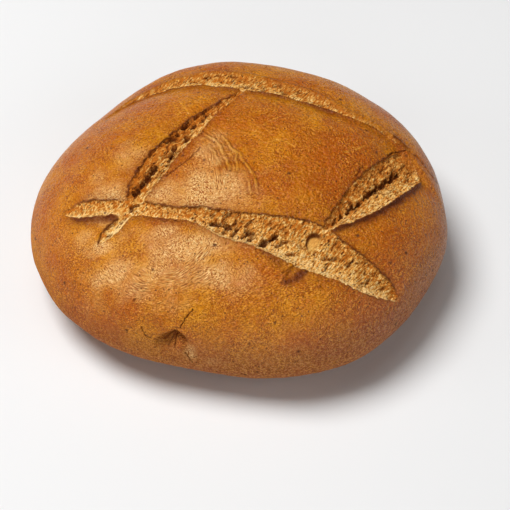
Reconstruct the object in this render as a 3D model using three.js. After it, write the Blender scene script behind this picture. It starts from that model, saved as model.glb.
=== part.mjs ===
// Whole wheat bread loaf: a round hearth loaf, risen open along four crossing cuts. One solid.
// Millimetres, +Z up. The origin is the middle of the footprint, on the surface that the loaf stands on.
import * as THREE from 'three';

// The risen loaf before it is cut: a round plan and a full side that bulges out over a smaller base
const CROWN_HEIGHT = 88;
const WAIST_HEIGHT = 32;
const LOAF_RADIUS = 113.4;
const CROWN_FULLNESS = 2.2;
const UNDERSIDE_FULLNESS = 2.4;
const UNDERSIDE_REACH = 40;
const PROFILE_STEPS = 160;

// How the plan departs from a circle: lobes, height of a lobe, bearing of a lobe in degrees
const OUTLINE_WAVES = [
  [2, 3.2, -1.3],
  [3, 3.2, -34.7],
  [4, 2.2, 15.6],
  [6, 1.0, -12.9],
];

// Hand-shaped unevenness of the crust: size of a lump, height of a lump
const CRUST_LUMPS = [
  [58, 1.6],
  [26, 0.6],
];

// The cuts lie on a map of the crust: distance walked over the crust from the crown, on each bearing.
// A cut runs straight from start to end, and its stations give the edges of the opening to either side:
// share of the way along, offset of the right-hand edge, offset of the left-hand edge. The deepest line of
// the opening lies at the valley, a share of the way from right to left. A cut is shallow up to the first
// share in its deepening, and has its full depth from the second on. Each edge has a raised lip of crust,
// whose height is given at the start and at the end.
const CUTS = [
  {
    name: 'front',
    start: [-98, -26],
    end: [94, -84],
    depth: 4.6,
    valley: 0.22,
    deepening: [-0.4, 0.7],
    rightLip: [2.2, 0.5],
    leftLip: [0.5, 0.5],
    stations: [
      [0.00, -0.6, 0.6],
      [0.05, -3.2, 6.8],
      [0.13, -1.8, 8.8],
      [0.22, -0.6, 10.2],
      [0.30, -2.4, 7.0],
      [0.37, -4.4, 7.2],
      [0.46, -10.4, 8.0],
      [0.57, -9.2, 13.6],
      [0.70, -11.2, 18.0],
      [0.79, -9.9, 13.1],
      [0.88, -9.0, 9.4],
      [0.95, -5.4, 6.2],
      [1.00, -0.6, 0.6],
    ],
  },
  {
    name: 'left',
    start: [2, 57],
    end: [-76, -54],
    depth: 2.6,
    valley: 0.66,
    deepening: [0.90, 0.66],
    rightLip: [0.4, 0.6],
    leftLip: [0.6, 0.6],
    stations: [
      [0.00, -0.4, 0.6],
      [0.12, -1.8, 3.6],
      [0.21, -5.6, 2.2],
      [0.31, -11.8, 1.0],
      [0.45, -12.0, 3.0],
      [0.57, -10.8, 5.4],
      [0.69, -8.0, 5.5],
      [0.78, -3.6, 5.5],
      [0.86, -1.6, 5.2],
      [0.93, -3.4, 3.4],
      [1.00, -2.2, -1.2],
    ],
  },
  {
    name: 'right',
    start: [22, -85],
    end: [108, 10],
    depth: 3.2,
    valley: 0.48,
    deepening: [0.20, 0.42],
    rightLip: [1.6, 2.0],
    leftLip: [0.4, 0.4],
    stations: [
      [0.00, -2.8, -0.4],
      [0.04, -4.0, 1.4],
      [0.11, -2.0, 1.6],
      [0.31, 2.2, 7.4],
      [0.42, -1.6, 11.4],
      [0.52, -3.8, 15.2],
      [0.61, -4.2, 17.9],
      [0.72, -4.3, 18.8],
      [0.87, -4.2, 18.5],
      [0.95, -3.6, 17.0],
      [0.975, 1.0, 16.2],
      [1.00, 10.5, 14.6],
    ],
  },
  {
    name: 'back',
    start: [-94, 48],
    end: [108, 20],
    depth: 3.0,
    valley: 0.12,
    deepening: [-1, 0],
    rightLip: [0.8, 1.4],
    leftLip: [0.4, 0.4],
    stations: [
      [0.00, -0.6, 0.6],
      [0.04, 8.6, 14.0],
      [0.09, 19.0, 30.0],
      [0.17, 24.0, 40.0],
      [0.30, 24.6, 44.4],
      [0.42, 20.0, 45.0],
      [0.55, 18.8, 40.4],
      [0.66, 14.4, 34.0],
      [0.74, 9.8, 22.0],
      [0.82, 6.8, 13.4],
      [0.91, 1.6, 6.4],
      [1.00, -2.6, -1.6],
    ],
  },
];
const CUT_END_DEPTH_POWER = 0.6;
const CUT_FADE_ABOVE_WAIST = 12;
const CRUST_STEP = 0.9;
const CRUST_STEP_WIDTH = 0.9;
const LIP_WIDTH = 2.4;
const LIP_END_FADE = 14;
const LIP_FULL_AT_WIDTH = 9;
const PANEL_SHOULDER = 13;
const PANEL_DROP_SHARE = 0.2;
const PANEL_DROP_MOST = 3.4;
const CRAG_SIZE = 5;
const CRAG_HEIGHT = 0.9;

// A thumb-sized hollow low on the front of the crust: it falls steeply under an arch, given by points on
// the map, and runs out gently below
const HOLLOW_ARCH = [
  [-60.0, -118.0],
  [-51.2, -115.1],
  [-45.8, -114.5],
  [-42.2, -114.2],
  [-38.7, -117.0],
  [-34.0, -123.5],
];
const HOLLOW_DEPTH = 5;
const HOLLOW_LIP = 1.8;
const HOLLOW_REACH = 9;
const HOLLOW_END_FADES = [9, 5];
const HOLLOW_SPLIT_SHARE = 0.04;

// The net of triangles: coarse on the crust, split round the cuts and the hollow, pulled onto the cuts' edges
const NET_SECTORS = 54;
const NET_RING_STEP = 7.6;
const BASE_RINGS = 3;
const SPLIT_MARGINS = [4.5, 2.4, 0.4];
const SPLIT_LONGER_THAN = [5.5, 3.4, 2.65];
const EDGE_PULL = 0.8;
const EDGE_PROBE = 0.05;
const EDGE_LEAST_STEEPNESS = 0.5;

const CRUST_COLOUR = 0xb06f2a;

const smoothstep = THREE.MathUtils.smoothstep;
const clamp = THREE.MathUtils.clamp;
const lerp = THREE.MathUtils.lerp;

// The loaf's side from the crown to the middle of the base: how far each place lies from the crown along
// the crust, its reach as a share of the plan's radius, its height, and the way that it faces
function sideProfile() {
  const underRatio = WAIST_HEIGHT / UNDERSIDE_REACH;
  const underAngle = Math.asin(underRatio ** (UNDERSIDE_FULLNESS / 2));
  const rows = [];
  for (let i = 0; i <= PROFILE_STEPS; i += 1) {
    const angle = (1 - i / PROFILE_STEPS) * Math.PI / 2;
    const reach = Math.cos(angle) ** (2 / CROWN_FULLNESS);
    const rise = Math.sin(angle) ** (2 / CROWN_FULLNESS);
    const depth = CROWN_HEIGHT - WAIST_HEIGHT;
    rows.push({
      reach,
      height: WAIST_HEIGHT + depth * rise,
      outward: reach ** (CROWN_FULLNESS - 1) / LOAF_RADIUS,
      upward: rise ** (CROWN_FULLNESS - 1) / depth,
    });
  }
  for (let i = 1; i <= PROFILE_STEPS; i += 1) {
    const angle = underAngle * i / PROFILE_STEPS;
    const reach = Math.cos(angle) ** (2 / UNDERSIDE_FULLNESS);
    const fall = Math.sin(angle) ** (2 / UNDERSIDE_FULLNESS);
    rows.push({
      reach,
      height: WAIST_HEIGHT - UNDERSIDE_REACH * fall,
      outward: reach ** (UNDERSIDE_FULLNESS - 1) / LOAF_RADIUS,
      upward: -(fall ** (UNDERSIDE_FULLNESS - 1)) / UNDERSIDE_REACH,
    });
  }
  rows.push({ reach: 0, height: 0, outward: 0, upward: -1 });
  rows[0].walk = 0;
  for (let i = 1; i < rows.length; i += 1) {
    const across = (rows[i].reach - rows[i - 1].reach) * LOAF_RADIUS;
    const down = rows[i].height - rows[i - 1].height;
    rows[i].walk = rows[i - 1].walk + Math.hypot(across, down);
  }
  return {
    rows,
    waistWalk: rows[PROFILE_STEPS].walk,
    baseWalk: rows[2 * PROFILE_STEPS].walk,
    wholeWalk: rows.at(-1).walk,
  };
}

const SIDE = sideProfile();

function sideAt(walk) {
  const rows = SIDE.rows;
  let low = 0;
  let high = rows.length - 1;
  while (high - low > 1) {
    const middle = (low + high) >> 1;
    if (rows[middle].walk <= walk) low = middle;
    else high = middle;
  }
  const share = clamp((walk - rows[low].walk) / (rows[high].walk - rows[low].walk), 0, 1);
  const mix = (key) => lerp(rows[low][key], rows[high][key], share);
  return { reach: mix('reach'), height: mix('height'), outward: mix('outward'), upward: mix('upward') };
}

function planRadius(bearing) {
  let radius = LOAF_RADIUS;
  for (const [lobes, height, crest] of OUTLINE_WAVES) {
    radius += height * Math.cos(lobes * (bearing - THREE.MathUtils.degToRad(crest)));
  }
  return radius;
}

// An even draw from -1 to 1 at each point of a lattice, always the same for the same point
function draw(i, j) {
  let mixed = Math.imul(i, 374761393) + Math.imul(j, 668265263);
  mixed = Math.imul(mixed ^ (mixed >>> 13), 1274126177);
  return ((mixed ^ (mixed >>> 16)) >>> 0) / 2147483648 - 1;
}

// Smooth lumps of one size over the map: the lattice draws, blended between neighbours
function lumps(u, v, size) {
  const i = Math.floor(u / size);
  const j = Math.floor(v / size);
  const s = smoothstep(u / size - i, 0, 1);
  const t = smoothstep(v / size - j, 0, 1);
  return lerp(lerp(draw(i, j), draw(i + 1, j), s), lerp(draw(i, j + 1), draw(i + 1, j + 1), s), t);
}

// A smooth curve through stations, with the slope at each station taken from its neighbours
function curveThrough(stations, column, at) {
  const last = stations.length - 1;
  const where = clamp(at, stations[0][0], stations[last][0]);
  let i = 0;
  while (i < last - 1 && stations[i + 1][0] < where) i += 1;
  const slope = (k) => {
    const before = stations[Math.max(k - 1, 0)];
    const after = stations[Math.min(k + 1, last)];
    return (after[column] - before[column]) / (after[0] - before[0]);
  };
  const span = stations[i + 1][0] - stations[i][0];
  const t = (where - stations[i][0]) / span;
  const startPart = (1 + 2 * t) * (1 - t) ** 2 * stations[i][column] + t * (1 - t) ** 2 * span * slope(i);
  const endPart = t * t * (3 - 2 * t) * stations[i + 1][column] + t * t * (t - 1) * span * slope(i + 1);
  return startPart + endPart;
}

// Where a place on the map lies in a cut: how far inside the edges it is (negative on the crust),
// its shares of the way along and across, the width of the opening there, and the distance to the nearer end
function placeInCut(cut, u, v) {
  const runU = cut.end[0] - cut.start[0];
  const runV = cut.end[1] - cut.start[1];
  const length = Math.hypot(runU, runV);
  const fromU = u - cut.start[0];
  const fromV = v - cut.start[1];
  const rawAlong = (fromU * runU + fromV * runV) / length ** 2;
  const offset = (fromV * runU - fromU * runV) / length;
  const along = clamp(rawAlong, 0, 1);
  const right = curveThrough(cut.stations, 1, along);
  const left = curveThrough(cut.stations, 2, along);
  const past = Math.abs(rawAlong - along) * length;
  const inside = Math.min(left - offset, offset - right) - past;
  const toEnd = Math.min(along, 1 - along) * length;
  return { inside, along, across: (offset - right) / (left - right), width: left - right, toEnd };
}

function insideCuts(u, v) {
  return Math.max(...CUTS.map((cut) => placeInCut(cut, u, v).inside));
}

// How far a place on the crust lies below the smooth loaf because of the cuts
function cutRelief(u, v) {
  let shoulder = 0;
  let opening = 0;
  let lip = 0;
  for (const cut of CUTS) {
    const { inside, along, across, width, toEnd } = placeInCut(cut, u, v);
    const panelDrop = Math.min(PANEL_DROP_SHARE * width, PANEL_DROP_MOST);
    shoulder += panelDrop * Math.exp(Math.min(inside, 0) / PANEL_SHOULDER);
    const lipEnds = across < 0.5 ? cut.rightLip : cut.leftLip;
    const lipShare = Math.min(width / LIP_FULL_AT_WIDTH, 1) * smoothstep(toEnd, 0, LIP_END_FADE);
    const lipHeight = lerp(lipEnds[1], lipEnds[0], (1 - along) ** 3) * lipShare;
    lip = Math.max(lip, lipHeight * Math.exp(-((inside / LIP_WIDTH) ** 2)));
    if (inside > 0) {
      const toValley = across < cut.valley ? across / cut.valley : (1 - across) / (1 - cut.valley);
      const endFade = (4 * along * (1 - along)) ** CUT_END_DEPTH_POWER;
      const [shallow, deep] = cut.deepening;
      const depth = cut.depth * endFade * smoothstep((along - shallow) / (deep - shallow), 0, 1);
      const step = CRUST_STEP * smoothstep(inside, 0, CRUST_STEP_WIDTH);
      opening = Math.max(opening, step + depth * toValley);
    }
  }
  const crags = CRAG_HEIGHT * lumps(u, v, CRAG_SIZE) * Math.min(opening / CRUST_STEP, 1);
  return shoulder + opening + crags - lip;
}

// How far a place lies in the hollow, as a share of its depth
function hollowShare(u, v) {
  const below = curveThrough(HOLLOW_ARCH, 1, u) - v;
  const first = smoothstep(u - HOLLOW_ARCH[0][0], 0, HOLLOW_END_FADES[0]);
  const last = smoothstep(HOLLOW_ARCH.at(-1)[0] - u, 0, HOLLOW_END_FADES[1]);
  return first * last * smoothstep(below, 0, HOLLOW_LIP) * Math.exp(-((below / HOLLOW_REACH) ** 2));
}

function lumpRelief(u, v) {
  let height = 0;
  for (const [size, amount] of CRUST_LUMPS) height += amount * lumps(u, v, size);
  return height;
}

// The place in space of a place on the map
function crustPoint(u, v) {
  const walk = Math.hypot(u, v);
  const bearing = Math.atan2(v, u);
  const side = sideAt(walk);
  const reach = side.reach * planRadius(bearing);
  const point = new THREE.Vector3(reach * Math.cos(bearing), reach * Math.sin(bearing), side.height);
  if (walk >= SIDE.baseWalk) return point;
  const facing = new THREE.Vector3(Math.cos(bearing), Math.sin(bearing), 0).multiplyScalar(side.outward);
  facing.setZ(side.upward).normalize();
  const onCrown = 1 - smoothstep(walk, SIDE.waistWalk - CUT_FADE_ABOVE_WAIST, SIDE.waistWalk);
  const aboveBase = 1 - smoothstep(walk, SIDE.waistWalk, SIDE.baseWalk);
  const lift = aboveBase * (lumpRelief(u, v) - HOLLOW_DEPTH * hollowShare(u, v)) - onCrown * cutRelief(u, v);
  return point.addScaledVector(facing, lift);
}

// The net on the map: rings round the crown, each turned half a step from the last, closed at the base
function mapNet() {
  const rings = Math.round(SIDE.baseWalk / NET_RING_STEP);
  const walks = [];
  for (let i = 1; i <= rings; i += 1) walks.push(SIDE.baseWalk * i / rings);
  const baseSpan = SIDE.wholeWalk - SIDE.baseWalk;
  for (let i = 1; i < BASE_RINGS; i += 1) walks.push(SIDE.baseWalk + baseSpan * i / BASE_RINGS);
  const places = [[0, 0]];
  walks.forEach((walk, ring) => {
    for (let j = 0; j < NET_SECTORS; j += 1) {
      const bearing = (j + (ring % 2) / 2) * 2 * Math.PI / NET_SECTORS;
      places.push([walk * Math.cos(bearing), walk * Math.sin(bearing)]);
    }
  });
  places.push([SIDE.wholeWalk, 0]);
  const at = (ring, j) => 1 + ring * NET_SECTORS + j % NET_SECTORS;
  const triangles = [];
  for (let j = 0; j < NET_SECTORS; j += 1) triangles.push([0, at(0, j), at(0, j + 1)]);
  for (let ring = 0; ring + 1 < walks.length; ring += 1) {
    const turn = ring % 2;
    for (let j = 0; j < NET_SECTORS; j += 1) {
      const [inner, innerNext] = [at(ring, j), at(ring, j + 1)];
      const [outer, outerNext] = [at(ring + 1, j + turn), at(ring + 1, j + turn + 1)];
      if (turn === 0) triangles.push([inner, outer, innerNext], [outer, outerNext, innerNext]);
      else triangles.push([inner, outer, innerNext], [inner, at(ring + 1, j), outer]);
    }
  }
  const lastRing = walks.length - 1;
  for (let j = 0; j < NET_SECTORS; j += 1) {
    triangles.push([at(lastRing, j), places.length - 1, at(lastRing, j + 1)]);
  }
  return { places, triangles };
}

// One round of splitting: each long edge of the crust in the hollow, or in or near a cut, gets a new place
// at its middle, and a triangle is halved at its longest such edge first, then its halves at theirs
function splitNearCuts({ places, triangles }, margin, longerThan) {
  const known = places.length;
  const middles = new Map();
  const gap = (a, b) => Math.hypot(places[a][0] - places[b][0], places[a][1] - places[b][1]);
  const onCrown = (a) => a < known && Math.hypot(...places[a]) < SIDE.waistWalk;
  const middleOf = (a, b) => {
    if (!onCrown(a) || !onCrown(b) || gap(a, b) < longerThan) return -1;
    const key = `${Math.min(a, b)},${Math.max(a, b)}`;
    if (!middles.has(key)) {
      const middle = [(places[a][0] + places[b][0]) / 2, (places[a][1] + places[b][1]) / 2];
      const inHollow = hollowShare(...middle) > HOLLOW_SPLIT_SHARE;
      const wanted = inHollow || insideCuts(...middle) > -margin;
      middles.set(key, wanted ? places.push(middle) - 1 : -1);
    }
    return middles.get(key);
  };
  const halve = ([a, b, c]) => {
    const turns = [[a, b, c], [b, c, a], [c, a, b]];
    const open = turns.filter(([from, to]) => middleOf(from, to) >= 0);
    if (open.length === 0) return [[a, b, c]];
    open.sort((one, other) => gap(other[0], other[1]) - gap(one[0], one[1]));
    const [from, to, far] = open[0];
    const middle = middleOf(from, to);
    return [...halve([from, middle, far]), ...halve([middle, to, far])];
  };
  return { places, triangles: triangles.flatMap(halve) };
}

// Places that lie close to the edge of a cut move onto it, so that the crust's lips run clean
function settleOnEdges({ places }) {
  for (const place of places) {
    const [u, v] = place;
    const inside = insideCuts(u, v);
    if (Math.hypot(u, v) > SIDE.waistWalk || Math.abs(inside) > EDGE_PULL) continue;
    const slopeU = (insideCuts(u + EDGE_PROBE, v) - inside) / EDGE_PROBE;
    const slopeV = (insideCuts(u, v + EDGE_PROBE) - inside) / EDGE_PROBE;
    const steepness = Math.max(slopeU ** 2 + slopeV ** 2, EDGE_LEAST_STEEPNESS);
    place[0] -= inside * slopeU / steepness;
    place[1] -= inside * slopeV / steepness;
  }
}

function loafGeometry() {
  let net = mapNet();
  SPLIT_MARGINS.forEach((margin, round) => {
    net = splitNearCuts(net, margin, SPLIT_LONGER_THAN[round]);
  });
  settleOnEdges(net);
  const points = net.places.map(([u, v]) => crustPoint(u, v));
  const geometry = new THREE.BufferGeometry().setFromPoints(points);
  geometry.setIndex(net.triangles.flat());
  geometry.computeBoundingBox();
  const box = geometry.boundingBox;
  geometry.translate(-(box.min.x + box.max.x) / 2, -(box.min.y + box.max.y) / 2, -box.min.z);
  geometry.computeVertexNormals();
  return geometry;
}

const crust = new THREE.MeshStandardMaterial({ color: CRUST_COLOUR, roughness: 0.5, metalness: 0 });
const loaf = new THREE.Mesh(loafGeometry(), crust);
loaf.name = 'loaf';

const wholeLoaf = new THREE.Group();
wholeLoaf.add(loaf);

export default wholeLoaf;
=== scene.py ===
# %% [markdown]
# # A round whole wheat loaf
# The real loaf is one ball of dough, slashed with four crossing cuts and baked on a hot floor, so it is
# one piece here too. The construction model gives its size and place; this lesson gives it a fine
# surface, a crust, the torn crumb in the cuts, and a studio to stand in. Sizes below are in millimetres,
# as a baker would measure them, and become metres at the moment that a mesh is made.

# %% Open the construction model
import math

import bpy
import numpy as np
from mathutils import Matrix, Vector


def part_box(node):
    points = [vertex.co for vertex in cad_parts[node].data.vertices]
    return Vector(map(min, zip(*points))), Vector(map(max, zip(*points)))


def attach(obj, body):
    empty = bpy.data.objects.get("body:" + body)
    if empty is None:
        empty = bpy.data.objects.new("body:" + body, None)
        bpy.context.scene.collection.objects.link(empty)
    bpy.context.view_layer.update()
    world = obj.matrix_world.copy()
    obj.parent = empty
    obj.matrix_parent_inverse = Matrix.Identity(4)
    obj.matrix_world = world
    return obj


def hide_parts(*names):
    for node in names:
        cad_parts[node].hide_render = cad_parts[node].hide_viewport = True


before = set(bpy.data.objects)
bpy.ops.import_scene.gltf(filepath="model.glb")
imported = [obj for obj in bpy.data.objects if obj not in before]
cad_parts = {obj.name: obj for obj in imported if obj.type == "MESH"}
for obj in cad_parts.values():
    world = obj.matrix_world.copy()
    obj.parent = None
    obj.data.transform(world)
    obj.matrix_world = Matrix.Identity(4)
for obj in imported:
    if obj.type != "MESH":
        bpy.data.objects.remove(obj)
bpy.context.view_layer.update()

MM = 0.001

# %% [markdown]
# ## The risen loaf
# Before the cuts open, the loaf is a full dome over a smaller flat base. It could be sculpted by hand, or
# lathed and pushed about. Here it is a formula: one side profile, carried round a plan that is nearly a
# circle. Every place on it is named by a map of the crust, (u, v), as a map of the Earth is drawn round
# the pole: the length of (u, v) is the distance walked over the crust from the crown, and its angle is
# the bearing. Cuts and wrinkles can then be drawn flat, at their true size, and laid over the dome.

# %% The side profile and the plan
CROWN_HEIGHT = 88.0
WAIST_HEIGHT = 32.0
LOAF_RADIUS = 113.4
CROWN_FULLNESS = 2.2
UNDERSIDE_FULLNESS = 2.4
UNDERSIDE_REACH = 40.0
PROFILE_STEPS = 400
# How the plan departs from a circle: lobes, height of a lobe, bearing of a lobe in degrees
OUTLINE_WAVES = ((2, 3.2, -1.3), (3, 3.2, -34.7), (4, 2.2, 15.6), (6, 1.0, -12.9))


def side_profile():
    """The side from crown to base: above the waist reach^n + rise^n = 1 with n the crown's fullness, below
    it the same with the underside's fullness, cut off flat at the base. Gives the walk, reach and height
    of each step, the outward and upward parts of the way it faces, and the walks to waist and base."""
    dome = CROWN_HEIGHT - WAIST_HEIGHT
    turn = np.linspace(np.pi / 2, 0, PROFILE_STEPS + 1)
    reach, rise = np.cos(turn) ** (2 / CROWN_FULLNESS), np.sin(turn) ** (2 / CROWN_FULLNESS)
    last_turn = np.arcsin((WAIST_HEIGHT / UNDERSIDE_REACH) ** (UNDERSIDE_FULLNESS / 2))
    turn = np.linspace(0, last_turn, PROFILE_STEPS + 1)[1:]
    tuck, fall = np.cos(turn) ** (2 / UNDERSIDE_FULLNESS), np.sin(turn) ** (2 / UNDERSIDE_FULLNESS)
    height = np.concatenate([WAIST_HEIGHT + dome * rise, WAIST_HEIGHT - UNDERSIDE_REACH * fall, [0]])
    outward = np.concatenate([reach ** (CROWN_FULLNESS - 1), tuck ** (UNDERSIDE_FULLNESS - 1), [0]])
    upward = np.concatenate([
        rise ** (CROWN_FULLNESS - 1) / dome,
        -(fall ** (UNDERSIDE_FULLNESS - 1)) / UNDERSIDE_REACH,
        [-1],
    ])
    reach = np.concatenate([reach, tuck, [0]])
    steps = np.hypot(np.diff(reach) * LOAF_RADIUS, np.diff(height))
    walk = np.concatenate([[0], np.cumsum(steps)])
    rows = walk, reach, height, outward / LOAF_RADIUS, upward
    return rows, walk[PROFILE_STEPS], walk[2 * PROFILE_STEPS], walk[-1]


SIDE, WAIST_WALK, BASE_WALK, WHOLE_WALK = side_profile()


def plan_radius(bearing):
    """A circle, plus a cosine wave for each set of lobes."""
    waves = [h * np.cos(n * (bearing - math.radians(crest))) for n, h, crest in OUTLINE_WAVES]
    return LOAF_RADIUS + sum(waves)


def smooth_loaf(u, v):
    """Places on the uncut loaf, and the way each one faces: walk and bearing are the polar form of (u, v),
    reach and height are read off the side profile, and the plan's radius scales the reach."""
    walk, bearing = np.hypot(u, v), np.arctan2(v, u)
    reach, height, outward, upward = (np.interp(walk, SIDE[0], row) for row in SIDE[1:])
    east, north = np.cos(bearing), np.sin(bearing)
    radius = reach * plan_radius(bearing)
    points = np.stack([radius * east, radius * north, height], axis=-1)
    facing = np.stack([outward * east, outward * north, upward], axis=-1)
    return points, facing / np.linalg.norm(facing, axis=-1, keepdims=True)


print(f"walk from the crown: {WAIST_WALK:.1f} mm to the waist, {BASE_WALK:.1f} mm to the base")

# %% [markdown]
# ## Lumps and grain
# Dough is never even. Blender's own textures could push the surface about, but the same unevenness has to
# move the shape and colour it, so it is drawn here, from a hash that always gives the same numbers:
# soft lumps from a lattice of heights, and a livelier grain from a lattice of slopes. Each use of the
# grain has a seed of its own, so that no two patterns fall together.

# %% Unevenness drawn from a hash
HASH_ALONG, HASH_ACROSS, HASH_AGAIN = (np.uint32(k) for k in (374761393, 668265263, 1274126177))
FIRST_SHIFT, SECOND_SHIFT = np.uint32(13), np.uint32(16)
HALF_RANGE = 2.0 ** 31
CORNERS = ((0, 0), (1, 0), (0, 1), (1, 1))
SEED_ALONG, SEED_ACROSS = 57, -131
GRAIN_GAIN = 1.5


def smooth(x):
    """0 below 0, 1 above 1, and the S-shaped 3x^2 - 2x^3 between."""
    x = np.clip(x, 0, 1)
    return x * x * (3 - 2 * x)


def bell(distance, width):
    """1 at no distance, falling off to both sides as exp(-(distance / width)^2)."""
    return np.exp(-((distance / width) ** 2))


def draw(i, j):
    """An even draw from -1 to 1 for each lattice point: its two numbers, multiplied and mixed bit by bit."""
    i, j = (np.asarray(k).astype(np.int64).astype(np.uint32) for k in (i, j))
    mixed = i * HASH_ALONG + j * HASH_ACROSS
    mixed = (mixed ^ (mixed >> FIRST_SHIFT)) * HASH_AGAIN
    return (mixed ^ (mixed >> SECOND_SHIFT)) / HALF_RANGE - 1


def blend_square(corners, s, t):
    """The four corner values of a square, mixed by s along and t across."""
    low = corners[0] * (1 - s) + corners[1] * s
    high = corners[2] * (1 - s) + corners[3] * s
    return low * (1 - t) + high * t


def lumps(u, v, size):
    """Heights drawn on a lattice of the given size, with an S-shaped blend between them."""
    i, j = np.floor(u / size), np.floor(v / size)
    heights = [draw(i + a, j + b) for a, b in CORNERS]
    return blend_square(heights, smooth(u / size - i), smooth(v / size - j))


def grain(u, v, size, seed):
    """Slopes of random bearing on a lattice: each corner's slope gives a height, and the four heights are
    blended. It swings from about -1 to 1."""
    x, y = u / size, v / size
    i, j = np.floor(x), np.floor(y)
    heights = []
    for a, b in CORNERS:
        bearing = np.pi * draw(i + a + SEED_ALONG * seed, j + b + SEED_ACROSS * seed)
        heights.append(np.cos(bearing) * (x - i - a) + np.sin(bearing) * (y - j - b))
    return GRAIN_GAIN * blend_square(heights, smooth(x - i), smooth(y - j))


def grains(u, v, layers):
    """A sum of grains, where each layer is a height, a size and a seed."""
    return sum(height * grain(u, v, size, seed) for height, size, seed in layers)


def patchy(u, v, size, seed, level, swing=1.0):
    """A share that comes and goes in patches: a level plus a grain of the given swing, made S-shaped."""
    return smooth(level + swing * grain(u, v, size, seed))


print("a few draws:", np.round(draw(np.arange(4), np.zeros(4)), 3))

# %% [markdown]
# ## The four cuts
# A baker draws a blade four times over the risen dough, two cuts each way. In the oven the cuts tear
# open: a thin step of crust along one edge, then a slope of rough crumb down to a valley, and often a
# raised ridge along the other edge. A boolean cut would leave clean walls, so each opening is described
# instead: a straight run from start to end on the map, stations that give the offsets of its right-hand
# and left-hand edges along the run, and a valley somewhere between them.

# %% The cuts' edges
# What a cut's entries say. A pair is for the right-hand and the left-hand edge, unless it says otherwise.
#   start, end: the run on the map
#   depth: how far the valley lies below the edges
#   valley: the share of the way across where the valley lies, early and late in the run
#   deepening: the shares of the way along where the valley is still flat, and where it is full
#   step, soft: how far the crust drops at an edge, and over what width
#   end_soft: over what length the step fades at both ends
#   torn_from: the share of the way along from which crumb shows
#   lip: how far an edge is raised, as a pair for the start and the end of the run
#   overhang: how far the crust leans over the opening
#   rim: how dark the thin edge of the crust is painted, for its baked colour and the shade along it
#   ragged: how far an edge wavers
#   rough: how coarse the crumb is, early and late in the run
#   pale, pale_by: how pale the crumb is at the right-hand edge, and beyond a share of the way across
#   tail_pale: how much paler the crumb is near the end of the run
#   stations: share of the way along, offset of the right-hand edge, offset of the left-hand edge
CUTS = {
    "front": dict(
        start=(-98, -26), end=(94, -84), depth=4.6, valley=(0.22, 0.22), deepening=(-0.4, 0.7),
        step=0.9, soft=(0.9, 0.9), end_soft=3, torn_from=-1, lip=((2.2, 0.4), (0.5, 0.5)),
        overhang=(0.0, 0.4), rim=(0.45, 0.70), ragged=(0.80, 0.7), rough=(0.45, 1.0),
        pale=(1.10, 0.30), pale_by=0.8, tail_pale=0.0,
        stations=(
            (0.00, -0.6, 0.6), (0.05, -3.2, 6.8), (0.13, -1.8, 8.8), (0.22, -0.6, 10.2),
            (0.30, -2.4, 7.0), (0.37, -4.4, 7.2), (0.46, -10.4, 8.0), (0.57, -9.2, 13.6),
            (0.70, -11.2, 18.0), (0.79, -9.9, 13.1), (0.88, -9.0, 9.4), (0.95, -5.4, 6.2),
            (1.00, -0.6, 0.6),
        ),
    ),
    "left": dict(
        start=(2, 57), end=(-76, -54), depth=2.6, valley=(0.66, 0.66), deepening=(0.90, 0.66),
        step=0.8, soft=(0.9, 0.9), end_soft=3, torn_from=-1, lip=((0.4, 0.6), (0.6, 0.6)),
        overhang=(0.5, 0.0), rim=(1.0, 0.40), ragged=(1.2, 0.7), rough=(0.9, 0.9),
        pale=(-0.30, 0.80), pale_by=1.0, tail_pale=0.9,
        stations=(
            (0.00, -0.4, 0.6), (0.12, -1.8, 3.6), (0.21, -5.6, 2.2), (0.31, -11.8, 1.0),
            (0.45, -12.0, 3.0), (0.57, -10.8, 5.4), (0.69, -8.0, 5.5), (0.78, -3.6, 5.5),
            (0.86, -1.6, 5.2), (0.93, -3.4, 3.4), (1.00, -2.2, -1.2),
        ),
    ),
    "right": dict(
        start=(22, -85), end=(108, 10), depth=3.2, valley=(0.48, 0.20), deepening=(0.20, 0.42),
        step=0.8, soft=(0.9, 0.9), end_soft=5, torn_from=0.12, lip=((1.6, 2.0), (0.4, 0.4)),
        overhang=(0.0, 0.4), rim=(0.95, 0.60), ragged=(0.55, 0.8), rough=(1.0, 1.1),
        pale=(0.72, 0.15), pale_by=0.9, tail_pale=0.0,
        stations=(
            (0.00, -2.8, -0.4), (0.04, -4.0, 1.4), (0.11, -2.0, 1.6), (0.31, 2.2, 7.4),
            (0.42, -1.6, 11.4), (0.52, -3.8, 15.2), (0.61, -4.2, 17.9), (0.72, -4.3, 18.8),
            (0.87, -4.2, 18.5), (0.95, -3.6, 17.0), (0.975, 1.0, 16.2), (1.00, 10.5, 14.6),
        ),
    ),
    "back": dict(
        start=(-94, 48), end=(108, 20), depth=3.0, valley=(0.12, 0.12), deepening=(-1, 0),
        step=1.0, soft=(0.9, 7.0), end_soft=16, torn_from=-1, lip=((0.8, 1.4), (0.4, 0.4)),
        overhang=(0.0, 0.0), rim=(0.40, 0.30), ragged=(0.6, 1.0), rough=(0.9, 0.9),
        pale=(1.35, 0.1), pale_by=0.75, tail_pale=0.0,
        stations=(
            (0.00, -0.6, 0.6), (0.04, 8.6, 14.0), (0.09, 19.0, 30.0), (0.17, 24.0, 40.0),
            (0.30, 24.6, 44.4), (0.42, 20.0, 45.0), (0.55, 18.8, 40.4), (0.66, 14.4, 34.0),
            (0.74, 9.8, 22.0), (0.82, 6.8, 13.4), (0.91, 1.6, 6.4), (1.00, -2.6, -1.6),
        ),
    ),
}
EDGE_GRAINS = ((1.0, 3.2, 1), (0.7, 1.5, 20))  # height, size, seed
RAGGED_FULL_AT_WIDTH = 6.0


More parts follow.
